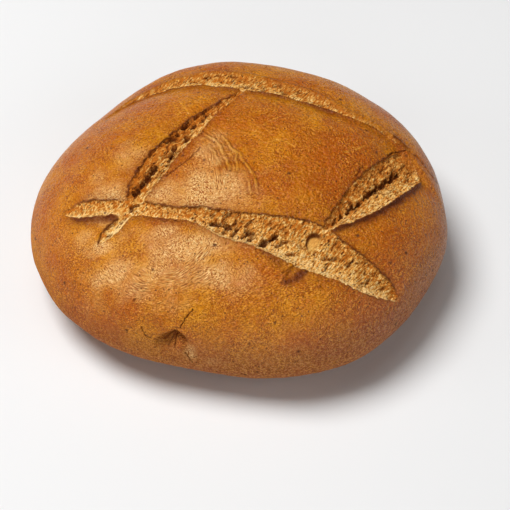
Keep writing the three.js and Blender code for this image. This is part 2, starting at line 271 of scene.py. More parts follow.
def curve_through(stations, column, at):
    """A cubic between each pair of stations, with the slope at a station taken from its neighbours."""
    rows = np.array(stations, float)
    along, value = rows[:, 0], rows[:, column]
    slope = np.empty_like(value)
    slope[1:-1] = (value[2:] - value[:-2]) / (along[2:] - along[:-2])
    slope[[0, -1]] = np.diff(value)[[0, -1]] / np.diff(along)[[0, -1]]
    i = np.clip(np.searchsorted(along, at) - 1, 0, len(along) - 2)
    span = along[i + 1] - along[i]
    t = (at - along[i]) / span
    start_part = (1 + 2 * t) * (1 - t) ** 2 * value[i] + t * (1 - t) ** 2 * span * slope[i]
    end_part = t * t * (3 - 2 * t) * value[i + 1] + t * t * (t - 1) * span * slope[i + 1]
    return start_part + end_part


def place_in_cut(cut, u, v):
    """Where places lie in a cut: the way along and the offset are the parts of (u, v) along and across the
    run, and the stations give the edges' offsets there, which waver by a grain, less where the opening is
    narrow. Gives how far inside the edges a place lies (negative on the crust), the shares of the way
    along and across, the opening's width, the distance to the nearer end, whether the right-hand edge is
    the nearer one, and the unit vector on the map from the nearer edge inwards."""
    start, end = np.array(cut["start"], float), np.array(cut["end"], float)
    length = np.hypot(*(end - start))
    run = (end - start) / length
    raw = ((u - start[0]) * run[0] + (v - start[1]) * run[1]) / length
    offset = (v - start[1]) * run[0] - (u - start[0]) * run[1]
    along = np.clip(raw, 0, 1)
    right = curve_through(cut["stations"], 1, along)
    left = curve_through(cut["stations"], 2, along)
    width = left - right
    waver = np.minimum(width / RAGGED_FULL_AT_WIDTH, 1) * grains(u, v, EDGE_GRAINS)
    from_right = offset - right + cut["ragged"][0] * waver
    from_left = left - offset + cut["ragged"][1] * waver
    on_right = from_right < from_left
    inward = np.where(on_right, 1, -1)
    return dict(
        inside=np.minimum(from_left, from_right) - np.abs(raw - along) * length,
        along=along,
        across=(offset - right) / width,
        width=width,
        to_end=np.minimum(along, 1 - along) * length,
        on_right=on_right,
        inward=np.stack([-run[1] * inward, run[0] * inward], axis=-1),
    )


def inside_cuts(u, v):
    """How far inside any cut places lie: the largest of the four."""
    return np.max([place_in_cut(cut, u, v)["inside"] for cut in CUTS.values()], axis=0)


for name, cut in CUTS.items():
    length = math.dist(cut["start"], cut["end"])
    widest = max(left - right for _, right, left in cut["stations"])
    print(f"{name} cut: {length:.0f} mm long, up to {widest:.0f} mm wide")

# %% [markdown]
# ## Torn pockets and a burst bubble
# Where the crumb tore apart, deep pockets are left in the cuts, and in the front cut a gas bubble burst and
# left a smooth bowl with half a roof. A random scatter would give the idea, but on this loaf each pocket
# can be seen to lie where it does, so they are listed one by one: each is a short line on the map, with a
# half width and a depth.

# %% Pockets and bubble
POCKETS = (  # from, to, half width, depth
    ((-46.5, -6.5), (-57, -22.5), 2.0, 3.6), ((-37.5, 8), (-39.5, -4.5), 1.4, 2.8),
    ((-36, 21.5), (-33.5, 26), 1.5, 2.6), ((-45.5, 10.5), (-55.5, -8.5), 0.9, 1.6),
    ((-31.5, 29), (-17.5, 37.5), 0.9, 1.5), ((-42, 11.5), (-40, 14.5), 1.6, 2.6),
    ((-39.5, 16), (-37.5, 19), 1.6, 2.6), ((-33.5, 14.5), (-32, 17), 1.4, 2.2),
    ((-37.5, 4.5), (-37, 5.5), 1.2, 1.8), ((-30, 25), (-27.5, 27.5), 1.4, 2.2),
    ((-22.5, 31), (-20, 33), 1.3, 2.0), ((-36.5, -48), (-36, -48), 1.1, 1.4),
    ((-18, -51.5), (-3.5, -55.5), 1.4, 2.4), ((-9.5, -48), (-5, -45.5), 1.0, 1.5),
    ((0, -60), (4, -56.5), 1.0, 1.8), ((9.5, -64), (19.5, -56.5), 1.7, 3.0),
    ((19.5, -62.5), (24, -60.5), 1.0, 1.6), ((25, -67.5), (28, -67), 1.1, 1.6),
    ((-26.5, -47), (-28.5, -53.5), 0.9, 1.4), ((45, -69), (52.5, -68), 0.9, 1.3),
    ((28.5, -60), (33, -63), 0.8, 1.2), ((-59.5, -32.5), (-56, -29.5), 1.3, 2.0),
    ((-66, -41.5), (-63, -39), 1.2, 1.8), ((49.5, -47.5), (51.5, -43), 1.0, 1.6),
    ((53.5, -42.5), (56, -37.5), 1.2, 1.9), ((58, -37), (61.5, -30.5), 1.4, 2.2),
    ((63, -31), (66, -25.5), 1.3, 2.2), ((66.5, -26.5), (69.5, -19.5), 1.2, 2.2),
    ((70, -22), (73.5, -16.5), 1.6, 2.6), ((74, -18.5), (76, -12), 1.3, 2.4),
    ((77.5, -13), (81, -6.5), 1.6, 2.6), ((80.5, -10), (84, -4.5), 1.4, 2.6),
    ((84, -6.5), (87.5, 1), 2.0, 2.8), ((88.5, -1.5), (91.5, 3), 1.5, 2.2),
    ((78, -3), (80, 1), 0.9, 1.4), ((70.5, -10.5), (72, -6.5), 0.9, 1.3),
    ((94.5, 7.5), (96, 11.5), 1.0, 1.4), ((62, -20), (63.5, -16), 0.8, 1.1),
    ((-21, -58.5), (-19, -54.5), 0.9, 1.3), ((-11, -57.5), (-8.5, -54), 1.0, 1.6),
    ((-6, -59.5), (-3, -55.5), 1.1, 1.8), ((3.5, -61), (6.5, -57), 1.1, 1.8),
    ((-18, -48.5), (-15.5, -46), 0.9, 1.3), ((-12.5, -51.5), (-10, -49), 0.9, 1.4),
    ((-5, -53), (-1.5, -49), 1.0, 1.6), ((2.5, -53.5), (5, -49.5), 1.0, 1.5),
    ((24.5, -55), (27, -51), 0.8, 1.1), ((49.5, -63), (52, -58.5), 0.8, 1.1),
    ((60, -71), (62.5, -67), 0.9, 1.2), ((72, -80.5), (74, -76.5), 0.9, 1.2),
    ((82, -83), (84, -79.5), 0.9, 1.1), ((45.5, -76.5), (48.5, -71.5), 0.8, 1.1),
    ((-29.5, 75.5), (-27.5, 75.5), 1.5, 3.0), ((-21, 78), (-19, 78), 1.6, 3.4),
    ((-14.5, 78), (-12.5, 78.5), 1.6, 3.4), ((-6.5, 77), (-4.5, 77), 1.5, 3.0),
    ((0.5, 66.5), (7, 65.5), 1.5, 2.6), ((13.5, 63), (15.5, 62.5), 1.4, 2.2),
    ((21, 69), (23.5, 69), 1.5, 2.6), ((26.5, 61.5), (28, 61), 1.3, 2.2),
    ((35, 63), (37, 62.5), 1.5, 2.6), ((57, 50), (58.5, 49.5), 1.3, 2.2),
    ((66, 45.5), (67.5, 44.5), 1.3, 2.2), ((77, 36.5), (78.5, 36), 1.2, 2.0),
    ((-72.5, -50), (-70.5, -47.5), 1.2, 2.0),
)
POCKET_GRAINS = ((1.1, 3.4, 2), (0.9, 1.5, 24))  # height, size, seed
POCKET_STEEPNESS = 1.5
BUBBLE_CENTRE = (39.6, -60.2)
BUBBLE_HALF_SIZES = (4.8, 6.2)
BUBBLE_DEPTH = 2.4
BUBBLE_BACK = (-0.6, 0.8)  # the way to the roofed side
BUBBLE_STEEPNESS = 4.0
# Level in the middle, and rise towards the back
BUBBLE_DEEP, BUBBLE_ROOF, BUBBLE_FLOOR = (0.3, 0.9), (0.5, 1.4), (1.0, 1.1)
ROOF_EDGE_AT, ROOF_EDGE_WIDTH = 0.86, 0.17


def distance_to_line(u, v, points):
    """The shortest distance from places to a chain of straight pieces: on each piece, the nearest share of
    the way along it is found by a dot product and held between 0 and 1."""
    nearest = np.full(u.shape, np.inf)
    for (u0, v0), (u1, v1) in zip(points, points[1:]):
        run_u, run_v = u1 - u0, v1 - v0
        share = ((u - u0) * run_u + (v - v0) * run_v) / (run_u ** 2 + run_v ** 2)
        share = np.clip(share, 0, 1)
        nearest = np.minimum(nearest, np.hypot(u - u0 - share * run_u, v - v0 - share * run_v))
    return nearest


def pocket_relief(u, v):
    """How deep the torn pockets go: an S-shaped wall from each pocket's edge, which wavers, to its middle."""
    waver = grains(u, v, POCKET_GRAINS)
    deepest = np.zeros_like(u)
    for start, end, half_width, depth in POCKETS:
        gap = distance_to_line(u, v, (start, end)) + waver
        deepest = np.maximum(deepest, depth * smooth(POCKET_STEEPNESS * (1 - gap / half_width)))
    return deepest


def bubble_relief(u, v):
    """The burst bubble, as its depth, the arch of painted shade under its roof, and the share of smooth
    floor: an oval with a steep wall, deep towards its roofed back and run out level in front; the arch is
    a bell over a line just inside the wall."""
    from_u = (u - BUBBLE_CENTRE[0]) / BUBBLE_HALF_SIZES[0]
    from_v = (v - BUBBLE_CENTRE[1]) / BUBBLE_HALF_SIZES[1]
    back = from_u * BUBBLE_BACK[0] + from_v * BUBBLE_BACK[1]
    out = np.hypot(from_u, from_v)
    within = smooth(BUBBLE_STEEPNESS * (1 - out))
    depth = BUBBLE_DEPTH * within * smooth(BUBBLE_DEEP[0] + BUBBLE_DEEP[1] * back)
    roofed = smooth(BUBBLE_ROOF[0] + BUBBLE_ROOF[1] * back)
    arch = roofed * bell(out - ROOF_EDGE_AT, ROOF_EDGE_WIDTH)
    floor_share = within * smooth(BUBBLE_FLOOR[0] + BUBBLE_FLOOR[1] * back)
    return depth, arch, floor_share


print(len(POCKETS), "pockets, and a bubble", 2 * max(BUBBLE_HALF_SIZES), "mm long")

# %% [markdown]
# ## Cracks, folds and the hollow
# The crust carries marks of its own: a thumb-sized hollow low on the front, where the loaf touched another
# in the oven, hair cracks round it, arcs of fine wrinkled skin beside the left cut with a few long folds
# through them, and small blisters. They could be painted on, but a crack or a fold catches the light, so
# each one lifts or sinks the surface.

# %% Cracks, folds, hollow and blisters
CRACKS = (  # points, half width, depth, darkness of the shade painted in it
    (((-39, -114), (-34.5, -109), (-30, -105)), 0.45, 0.9, 0.9),
    (((-62, -108), (-61.5, -113), (-58.5, -116)), 0.45, 0.9, 0.9),
    (((-39.5, -130), (-38, -134), (-36.5, -138)), 0.50, 0.9, 0.9),
    (((-42, -115.5), (-52.5, -119.5)), 0.90, 0.6, 0.6),
    (((-43.5, -116.5), (-50.5, -124.5)), 0.80, 0.6, 0.6),
    (((-42.5, -116.5), (-46, -126)), 0.80, 0.6, 0.7),
    (((22, -81), (28.5, -75.5)), 0.80, 0.7, 0.5), (((61.5, -12), (66, -3.5)), 0.70, 0.6, 0.7),
    (((83.5, 11.5), (88, 16.5), (94.5, 20.5), (99.5, 22)), 0.70, 0.9, 0.9),
    (((99.5, 22), (102, 21), (106.5, 17.5), (111, 13.5), (117.5, 12)), 0.55, 0.5, 0.7),
    (((-22.5, 3), (-27, -4.5), (-33.5, -10), (-40, -15)), 0.90, 0.5, 0.6),
    (((-63, -92), (-62, -91.5)), 0.90, 0.5, 0.7),
    (((-67, -38.5), (-71, -41), (-74, -43.5), (-76, -46.5), (-77.5, -51.5)), 0.85, 0.8, 0.9),
)
CRACK_GRAIN = (0.5, 1.8)  # how far a crack wavers, size of the grain
CRACK_SHADE_GAIN = 1.6
HOLLOW_ARCH = (  # along, height of the arch over the hollow
    (-60, -118), (-51, -115), (-46, -114.5), (-42, -114), (-38.5, -117), (-34, -123.5),
)
HOLLOW_DEPTH = 5.0
HOLLOW_LIP = 1.8
HOLLOW_REACH = 9.0
HOLLOW_ENDS = (9.0, 5.0)  # how long the hollow takes to fade at its left and right ends
FOLD_ZONES = (  # middle, squash upwards, inner and outer radius, first and last bearing in radians
    ((-40.0, -22.0), 0.6, 20.0, 46.0, -0.5, 1.25), ((-43.0, -60.0), 1.0, 14.0, 46.0, -3.0, 0.2),
)
FOLD_SPACING = 1.9
FOLD_HEIGHT = 0.06
FOLD_FADES = (8.0, 14.0, 0.5, 0.4)  # at the inner and outer radius, at the first and last bearing
FOLD_GRAIN = (1.2, 8.0)  # how far the folds waver, size of the grain
LONG_FOLDS = (  # points, strength
    (((-22, 16), (-17, 10), (-12, 4), (-7.5, -7.5), (-7, -16)), 1.0),
    (((-11, 12), (-7, 4.5), (-3.5, -3.5), (-2.5, -16.5)), 0.8),
    (((-8, 6), (-2.5, -2), (2.5, -12), (7.5, -22.5), (8.5, -32.5)), 0.9),
    (((-17.5, 4), (-14, -1.5), (-12, -9)), 0.7), (((1, -18.5), (3.5, -25.5), (4.5, -32.5)), 0.7),
)
LONG_FOLD_HEIGHT = 0.35
LONG_FOLD_GRAIN = (0.9, 6.0)
CREST_WIDTH = 0.6
TROUGH_AT, TROUGH_WIDTH, TROUGH_SHARE = 1.3, 0.6, 0.6
BLISTERS = (  # middle, radius, height
    ((-41, -125.5), 3.4, 1.3), ((2, -77.5), 2.4, 0.7), ((94, -77), 3.0, 1.2),
    ((10.5, -127.5), 1.6, 0.4),
)


def wavered(u, v, swing, size, seeds):
    """The places moved about, by one grain along u and another along v."""
    return u + swing * grain(u, v, size, seeds[0]), v + swing * grain(u, v, size, seeds[1])


def crack_relief(u, v):
    """How deep the cracks go, and how much shade is painted in them: a V across a line that wavers a little.
    """
    moved_u, moved_v = wavered(u, v, *CRACK_GRAIN, seeds=(3, 4))
    deepest, darkest = np.zeros_like(u), np.zeros_like(u)
    for points, half_width, depth, darkness in CRACKS:
        open_share = np.clip(1 - distance_to_line(moved_u, moved_v, points) / half_width, 0, 1)
        deepest = np.maximum(deepest, depth * open_share)
        darkest = np.maximum(darkest, darkness * smooth(CRACK_SHADE_GAIN * open_share))
    return deepest, darkest


def hollow_share(u, v):
    """The thumb-sized hollow: a sharp fall under an arch, a bell's half below it, faded at both ends."""
    first, last = HOLLOW_ARCH[0][0], HOLLOW_ARCH[-1][0]
    below = curve_through(HOLLOW_ARCH, 1, np.clip(u, first, last)) - v
    ends = smooth((u - first) / HOLLOW_ENDS[0]) * smooth((last - u) / HOLLOW_ENDS[1])
    return ends * smooth(below / HOLLOW_LIP) * bell(np.maximum(below, 0), HOLLOW_REACH)


def fold_relief(u, v):
    """Arcs of wrinkled skin, as height, share, and walks across and along the folds: the walk across is the
    distance from a zone's middle, that wavers; the height is the size of its sine, which has sharp
    valleys; the share fades out at both radii, at both bearings, and in patches."""
    share, across, along = np.zeros_like(u), np.zeros_like(u), np.zeros_like(u)
    patches = patchy(u, v, size=9, seed=5, level=0.6)
    inner_fade, outer_fade, first_fade, last_fade = FOLD_FADES
    for (u0, v0), squash, inner, outer, first, last in FOLD_ZONES:
        from_u, from_v = u - u0, squash * (v - v0)
        out, bearing = np.hypot(from_u, from_v), np.arctan2(from_v, from_u)
        here = patches * smooth((out - inner) / inner_fade) * smooth((outer - out) / outer_fade)
        here = here * smooth((bearing - first) / first_fade) * smooth((last - bearing) / last_fade)
        nearest = here > share
        across = np.where(nearest, out, across)
        along = np.where(nearest, out * bearing, along)
        share = np.maximum(share, here)
    across = across + FOLD_GRAIN[0] * grain(u, v, FOLD_GRAIN[1], seed=6)
    return FOLD_HEIGHT * share * np.abs(np.sin(np.pi * across / FOLD_SPACING)), share, across, along


def long_fold_relief(u, v):
    """The long folds beside the left cut, as height, crest and trough: a bell over each line, which wavers,
    and a weaker trough along both its sides; all three come and go along the line."""
    moved_u, moved_v = wavered(u, v, *LONG_FOLD_GRAIN, seeds=(32, 33))
    crest, trough = np.zeros_like(u), np.zeros_like(u)
    for points, strength in LONG_FOLDS:
        gap = distance_to_line(moved_u, moved_v, points)
        crest = np.maximum(crest, strength * bell(gap, CREST_WIDTH))
        trough = np.maximum(trough, strength * bell(gap - TROUGH_AT, TROUGH_WIDTH))
    come_and_go = patchy(u, v, size=6, seed=34, level=0.8, swing=0.8)
    crest, trough = come_and_go * crest, come_and_go * trough * (1 - crest)
    return LONG_FOLD_HEIGHT * (crest - TROUGH_SHARE * trough), crest, trough


def blister_relief(u, v):
    """Small blisters: a bell each."""
    return sum(height * bell(np.hypot(u - u0, v - v0), radius) for (u0, v0), radius, height in BLISTERS)


print(len(CRACKS), "cracks,", len(LONG_FOLDS), "long folds,", len(BLISTERS), "blisters")

# %% [markdown]
# ## Pale, red and dark places
# Where the crust faces the light a paler tan is painted on, as its highlight and sheen. Zones of redder
# crust are partly its own colour, where it caught more heat, and partly painted shade where a panel turns
# away from the light. Below a lip and along a few lines it is painted dark, partly for its baked colour and
# partly for the shade there, and thin pale stretch marks run over the crown. An artist would paint these;
# here each is a soft zone or a line on the map, so that it can be moved by changing a number.

# %% Zones and lines of colour
# Painted sheen: a paler tan where the crust faces the main lamp and catches its highlight.
SHEEN_ZONES = (  # middle, half sizes, strength
    ((-30, -69), 26, 13, 1.0), ((-18, -30), 24, 18, 1.0), ((-70, -27), 14, 16, 0.85),
    ((-72, -73), 16, 10, 0.9), ((-76, -54), 7, 6, 0.9), ((-46, -82), 48, 17, 0.60),
    ((-14, -87), 24, 11, 0.78), ((-46, -99), 16, 9, 0.40), ((-17, -2), 12, 22, 0.60),
    ((-60, 2), 9, 13, 0.60), ((-83, -54), 9, 8, 0.50), ((-43, -28), 11, 8, 0.80),
    ((-36, -130.5), 5, 6, 0.90), ((-21, -138), 9, 5, 0.45), ((-76, -12), 13, 11, 0.40),
    ((-44, -54), 13, 6, 0.75), ((-97, -43), 9, 13, 0.30), ((-85, -47), 10, 8, 0.55),
    ((-62, -50), 12, 6, 0.50),
)
# Redder zones: partly the crust's own colour, partly painted shade where a panel turns away from the light,
# as on the right of the crown and on the right flank.
RED_AND_SHADED_ZONES = (  # middle, half sizes, strength
    ((56, -8), 32, 38, 1.0), ((80, -95), 28, 20, 0.9), ((-105, -60), 16, 30, 0.7),
    ((-106, -90), 20, 26, 0.8), ((-31, 10), 7, 20, 1.0), ((-72, 22), 24, 26, 0.6),
    ((20, 30), 30, 16, 0.5), ((88, -48), 24, 24, 0.7),
)
ZONE_GAIN, ZONE_CUT_OFF = 1.3, 0.15
ZONE_GRAIN = (0.3, 9.0)  # how ragged a zone's border is, size of the grain
# Dark lines: some are baked colour, those below the right cut's ridge and the front cut's left lip are
# painted shade.
BAKED_AND_SHADED_LINES = (  # points, half width, strength
    (((70, -40), (78.5, -32.5), (88, -22.5), (98, -11.5)), 3.2, 0.5),
    (((-97.5, -30), (-81.5, -36), (-68, -39)), 2.0, 0.40), (((12, -71), (20, -75.5)), 2.5, 0.5),
    (((24.5, -86), (33, -80)), 2.6, 0.95),
    (((85, 32), (92.5, 28), (99, 22.5), (109.5, 16.5), (119.5, 13)), 1.5, 0.7),
)
STRETCH_MARKS = (  # points, strength
    (((5.5, 13), (14.5, 22), (23.5, 29.5), (29.5, 31)), 0.45),
    (((18.5, 7.5), (24, 6), (29, 3)), 0.75), (((56.5, 3), (64.5, 8), (70.5, 12)), 0.60),
    (((9.5, 5.5), (18.5, 6.5)), 0.45), (((-37.5, 48.5), (-33, 39), (-29.5, 31.5)), 0.45),
)
STRETCH_MARK_WIDTH = 0.4
STRETCH_MARK_GRAIN = (0.8, 5.0)


def zone_share(u, v, zones, seed):
    """How far places lie in any of the zones: the largest of a bell over each, with a ragged border."""
    bells = [
        strength * np.exp(-(((u - u0) / width) ** 2) - ((v - v0) / height) ** 2)
        for (u0, v0), width, height, strength in zones
    ]
    ragged = ZONE_GRAIN[0] * grain(u, v, ZONE_GRAIN[1], seed)
    return smooth(ZONE_GAIN * np.max(bells, axis=0) - ZONE_CUT_OFF + ragged)


def baked_and_shaded_share(u, v):
    """How strongly places are painted dark along the listed lines, for baked colour and for the shade below
    a ridge: a bell across each, in patches.
    """
    bells = [
        strength * bell(distance_to_line(u, v, points), half_width)
        for points, half_width, strength in BAKED_AND_SHADED_LINES
    ]
    return np.max(bells, axis=0) * patchy(u, v, size=5, seed=27, level=0.8)


def mark_share(u, v):
    """How strongly places are marked by the stretch marks: a bell across each line, which wavers, in
    patches."""
    moved_u, moved_v = wavered(u, v, *STRETCH_MARK_GRAIN, seeds=(29, 30))
    bells = [
        strength * bell(distance_to_line(moved_u, moved_v, points), STRETCH_MARK_WIDTH)
        for points, strength in STRETCH_MARKS
    ]
    return np.max(bells, axis=0) * patchy(u, v, size=4, seed=31, level=0.75)


print(len(SHEEN_ZONES), "tan zones,", len(RED_AND_SHADED_ZONES), "red zones,", len(STRETCH_MARKS), "stretch marks")

# %% [markdown]
# ## The torn crumb
# Inside a cut the dough was pulled apart, so the crumb is not plainly rough: fibres run slantwise down the
# slope, and in places flakes stand up one behind the other. Pushing the mesh about by a noise would give
# gravel. A sawtooth across the fibres gives flakes with a gap behind each, and a felt of two grains fills
# the places between.

# %% Relief of the crumb
FIBRE_RUN = (0.6, 0.8)
FIBRE_BEND = (1.5, 6.0)  # how far the fibres bend, size of the grain
FLAKE_SPACING = 3.4
FLAKE_HEIGHT = 2.2
FLAKE_WAVER = (0.8, 3.5)  # how far the sawtooth's phase wavers, size of the grain
FLAKE_GAP_FROM, FLAKE_GAP_FADE = 0.6, 0.35
FLAKE_ZONES = (  # middle, half sizes, strength
    ((0, -55), 26, 12, 1.0), ((74, -16), 22, 22, 0.5), ((-40, 2), 16, 34, 0.8),
    ((52, -72), 22, 10, 0.45),
)
FELT_GRAINS = ((0.32, 1.5, 10), (0.42, 3.2, 25))  # height, size, seed
CRUMB_LUMP_HEIGHT, CRUMB_LUMP_SIZE = 0.8, 5.0


def crumb_relief(u, v):
    """Torn crumb, as its height, how far a place lies in the gap behind a flake, and its felt: flakes are a
    sawtooth across the fibres, with a phase that wavers, standing up in patches; lumps and felt are added."""
    bent_u, bent_v = wavered(u, v, *FIBRE_BEND, seeds=(7, 18))
    along = bent_u * FIBRE_RUN[0] + bent_v * FIBRE_RUN[1]
    across = bent_v * FIBRE_RUN[0] - bent_u * FIBRE_RUN[1]
    phase = across / FLAKE_SPACING + FLAKE_WAVER[0] * grain(along / 2, across, FLAKE_WAVER[1], seed=8)
    tooth = phase - np.floor(phase)
    standing = zone_share(u, v, FLAKE_ZONES, seed=9) * patchy(u, v, size=7, seed=26, level=0.6, swing=1.2)
    felt = grains(u, v, FELT_GRAINS)
    flakes = FLAKE_HEIGHT * standing * (0.5 - tooth)
    gap = standing * smooth((tooth - FLAKE_GAP_FROM) / FLAKE_GAP_FADE)
    return CRUMB_LUMP_HEIGHT * lumps(u, v, CRUMB_LUMP_SIZE) + felt + flakes, gap, felt


print(f"flakes every {FLAKE_SPACING} mm, up to {FLAKE_HEIGHT} mm high")

# %% [markdown]
# ## One cut
# Beside a cut the crust rounds down like the edge of a pillow, then drops by a thin step that may hang over
# a little. Inside, the slope falls to the valley. Thin rims and the crust behind raised ridges are painted
# dark, partly for their baked colour and partly for the shade there, and the crumb is palest where it tore
# last. Sculpting would do this for one cut at a time; as sums, all four are opened by the same rules, and
# the same numbers later tell the finish what each place is made of and where shade is painted on it.

# %% The edges, opening and crumb of a cut
LIP_WIDTH_IN, LIP_WIDTH_OUT = 2.4, 1.1
LIP_FULL_AT_WIDTH = 9.0
LIP_END_FADE = 14.0
LIP_GRAIN = (0.5, 9.0)  # how uneven a lip is, size of the grain
CROSSING_NEAR, CROSSING_FADE = 1.5, 2.0
RIDGE_WIDTH, RIDGE_FULL_AT_HEIGHT = 4.0, 2.0
RIM_WIDTH, RIM_LEAST = 0.85, 0.3
HANG_WIDTH_OUT = 1.8
HANG_LEAN, HANG_LEAN_WIDTH = 1.6, 0.4
HANG_BACK, HANG_BACK_WIDTH = 0.6, 2.2
SHADE_AT, SHADE_WIDTH, SHADE_GAIN = 0.2, 0.5, 2.0
CUT_END_DEPTH_POWER = 0.6
STEP_FULL_AT_WIDTH, STEP_LEAST = 7.0, 0.4
END_DULLING, END_DULLING_LENGTH, END_DULLING_ACROSS = 0.5, 10.0, 0.4
TAIL_FROM, TAIL_FADE = 0.83, 0.04
ROUGH_TURN_FROM, ROUGH_TURN = 0.3, 0.25
TORN_FADE = 0.05
SOFT_EDGE_FROM = 2.0
SOFT_EDGE_GRAIN = (0.4, 3.0)  # how ragged the crumb's border is at a soft edge, size of the grain


def between(pair, share):
    """From the first number of a pair to the second, as the share goes from 0 to 1."""
    return pair[0] + (pair[1] - pair[0]) * share


def cut_edges(cut, place, crossed, u, v):
    """The edges of a cut: a lip, a ridge behind it, a thin rim, a line of shade, and a slide sideways on the
    map. Each is a bell over the edge, and weaker where the cut is narrow, near its ends, and where
    another cut runs through. A lip's height changes along the run by the cube of what is left of it.
    The slide leans the crust over the opening, and draws the wall under it back."""
    here, on_right = place["inside"], place["on_right"]
    outside = np.minimum(here, 0)
    apart = 1 - smooth((crossed + CROSSING_NEAR) / CROSSING_FADE)
    wide = np.clip(place["width"] / LIP_FULL_AT_WIDTH, 0, 1) * apart
    wide = wide * smooth(place["to_end"] / LIP_END_FADE)
    heights = [between((end, start), (1 - place["along"]) ** 3) for start, end in cut["lip"]]
    height = np.where(on_right, *heights) * wide * (1 + LIP_GRAIN[0] * grain(u, v, LIP_GRAIN[1], seed=17))
    hang = np.where(on_right, *cut["overhang"]) * wide
    under = HANG_LEAN * bell(here, HANG_LEAN_WIDTH) - HANG_BACK * bell(here, HANG_BACK_WIDTH)
    lean = hang * np.where(here > 0, under, bell(here, HANG_WIDTH_OUT))
    return dict(
        lip=height * bell(here, np.where(here > 0, LIP_WIDTH_IN, LIP_WIDTH_OUT)),
        ridge=np.clip(height / RIDGE_FULL_AT_HEIGHT, 0, 1) * bell(outside, RIDGE_WIDTH),
        rim=np.where(on_right, *cut["rim"]) * np.minimum(wide + RIM_LEAST, 1) * bell(outside, RIM_WIDTH),
        shade=np.minimum(SHADE_GAIN * hang, 1) * bell(here - SHADE_AT, SHADE_WIDTH),
        slide=lean[:, None] * place["inward"],
    )


def cut_opening(cut, place, valley, soft, ended):
    """How far the inside of a cut lies below its edges: an S-shaped step just inside the edge, and a straight
    slope from either edge to the valley, whose depth changes along the run and runs out at both ends."""
    here, along, across = place["inside"], place["along"], place["across"]
    to_valley = np.where(across < valley, across / valley, (1 - across) / (1 - valley))
    flat, full = cut["deepening"]
    depth = cut["depth"] * smooth((along - flat) / (full - flat))
    depth = depth * (4 * along * (1 - along)) ** CUT_END_DEPTH_POWER
    step = cut["step"] * np.clip(place["width"] / STEP_FULL_AT_WIDTH, STEP_LEAST, 1)
    opening = ended * step * smooth(here / soft) + depth * np.clip(to_valley, 0, 1)
    return np.where(here > 0, opening, 0)


def cut_crumb(cut, place, valley, soft, ended, u, v):
    """The crumb of a cut, as its share, paleness and roughness: the share rises over the first half of the
    step, raggedly if the step is soft; the paleness goes from one value to another across the opening, less
    at both ends and more in the tail; the roughness changes part of the way along."""
    along, across = place["along"], np.clip(place["across"], 0, 1)
    torn = ended * smooth((along - cut["torn_from"]) / TORN_FADE)
    ragged = SOFT_EDGE_GRAIN[0] * (soft > SOFT_EDGE_FROM) * grain(u, v, SOFT_EDGE_GRAIN[1], seed=23)
    crumb = torn * np.clip(place["inside"] / (0.5 * soft) + ragged, 0, 1)
    pale_by = cut["pale_by"] * valley / cut["valley"][0]
    pale = between(cut["pale"], smooth(across / pale_by))
    near_end = 1 - smooth(place["to_end"] / END_DULLING_LENGTH)
    pale = pale - END_DULLING * near_end * smooth(across / END_DULLING_ACROSS)
    pale = pale + cut["tail_pale"] * smooth((along - TAIL_FROM) / TAIL_FADE)
    rough = between(cut["rough"], smooth((along - ROUGH_TURN_FROM) / ROUGH_TURN))
    return crumb, pale, rough


print("valley depths, mm:", {name: cut["depth"] for name, cut in CUTS.items()})

# %% [markdown]
# ## All cuts together
# Where two cuts cross, the deeper one wins, as it does when a blade crosses its own track. The pockets,
# the bubble and the flakes are then set into the crumb.

# %% The four cuts, with their crumb
PANEL_SHOULDER = 13.0
PANEL_DROP_SHARE = 0.2
PANEL_DROP_MOST = 3.4
VALLEY_TURN_FROM, VALLEY_TURN = 0.68, 0.26
# how dark the painted shade is behind flakes and under a leaning edge
GAP_SHADE_DARKNESS, SHADE_DARKNESS = 0.8, 0.95
POCKET_SHADE_FULL_AT_DEPTH = 2.4
FELT_PAINTED_LIGHT, GAP_PAINTED_SHADE, FLOOR_PALE = 0.5, -0.3, 0.25
PALE_GRAIN = (0.4, 5.0)  # how uneven the paleness is, size of the grain


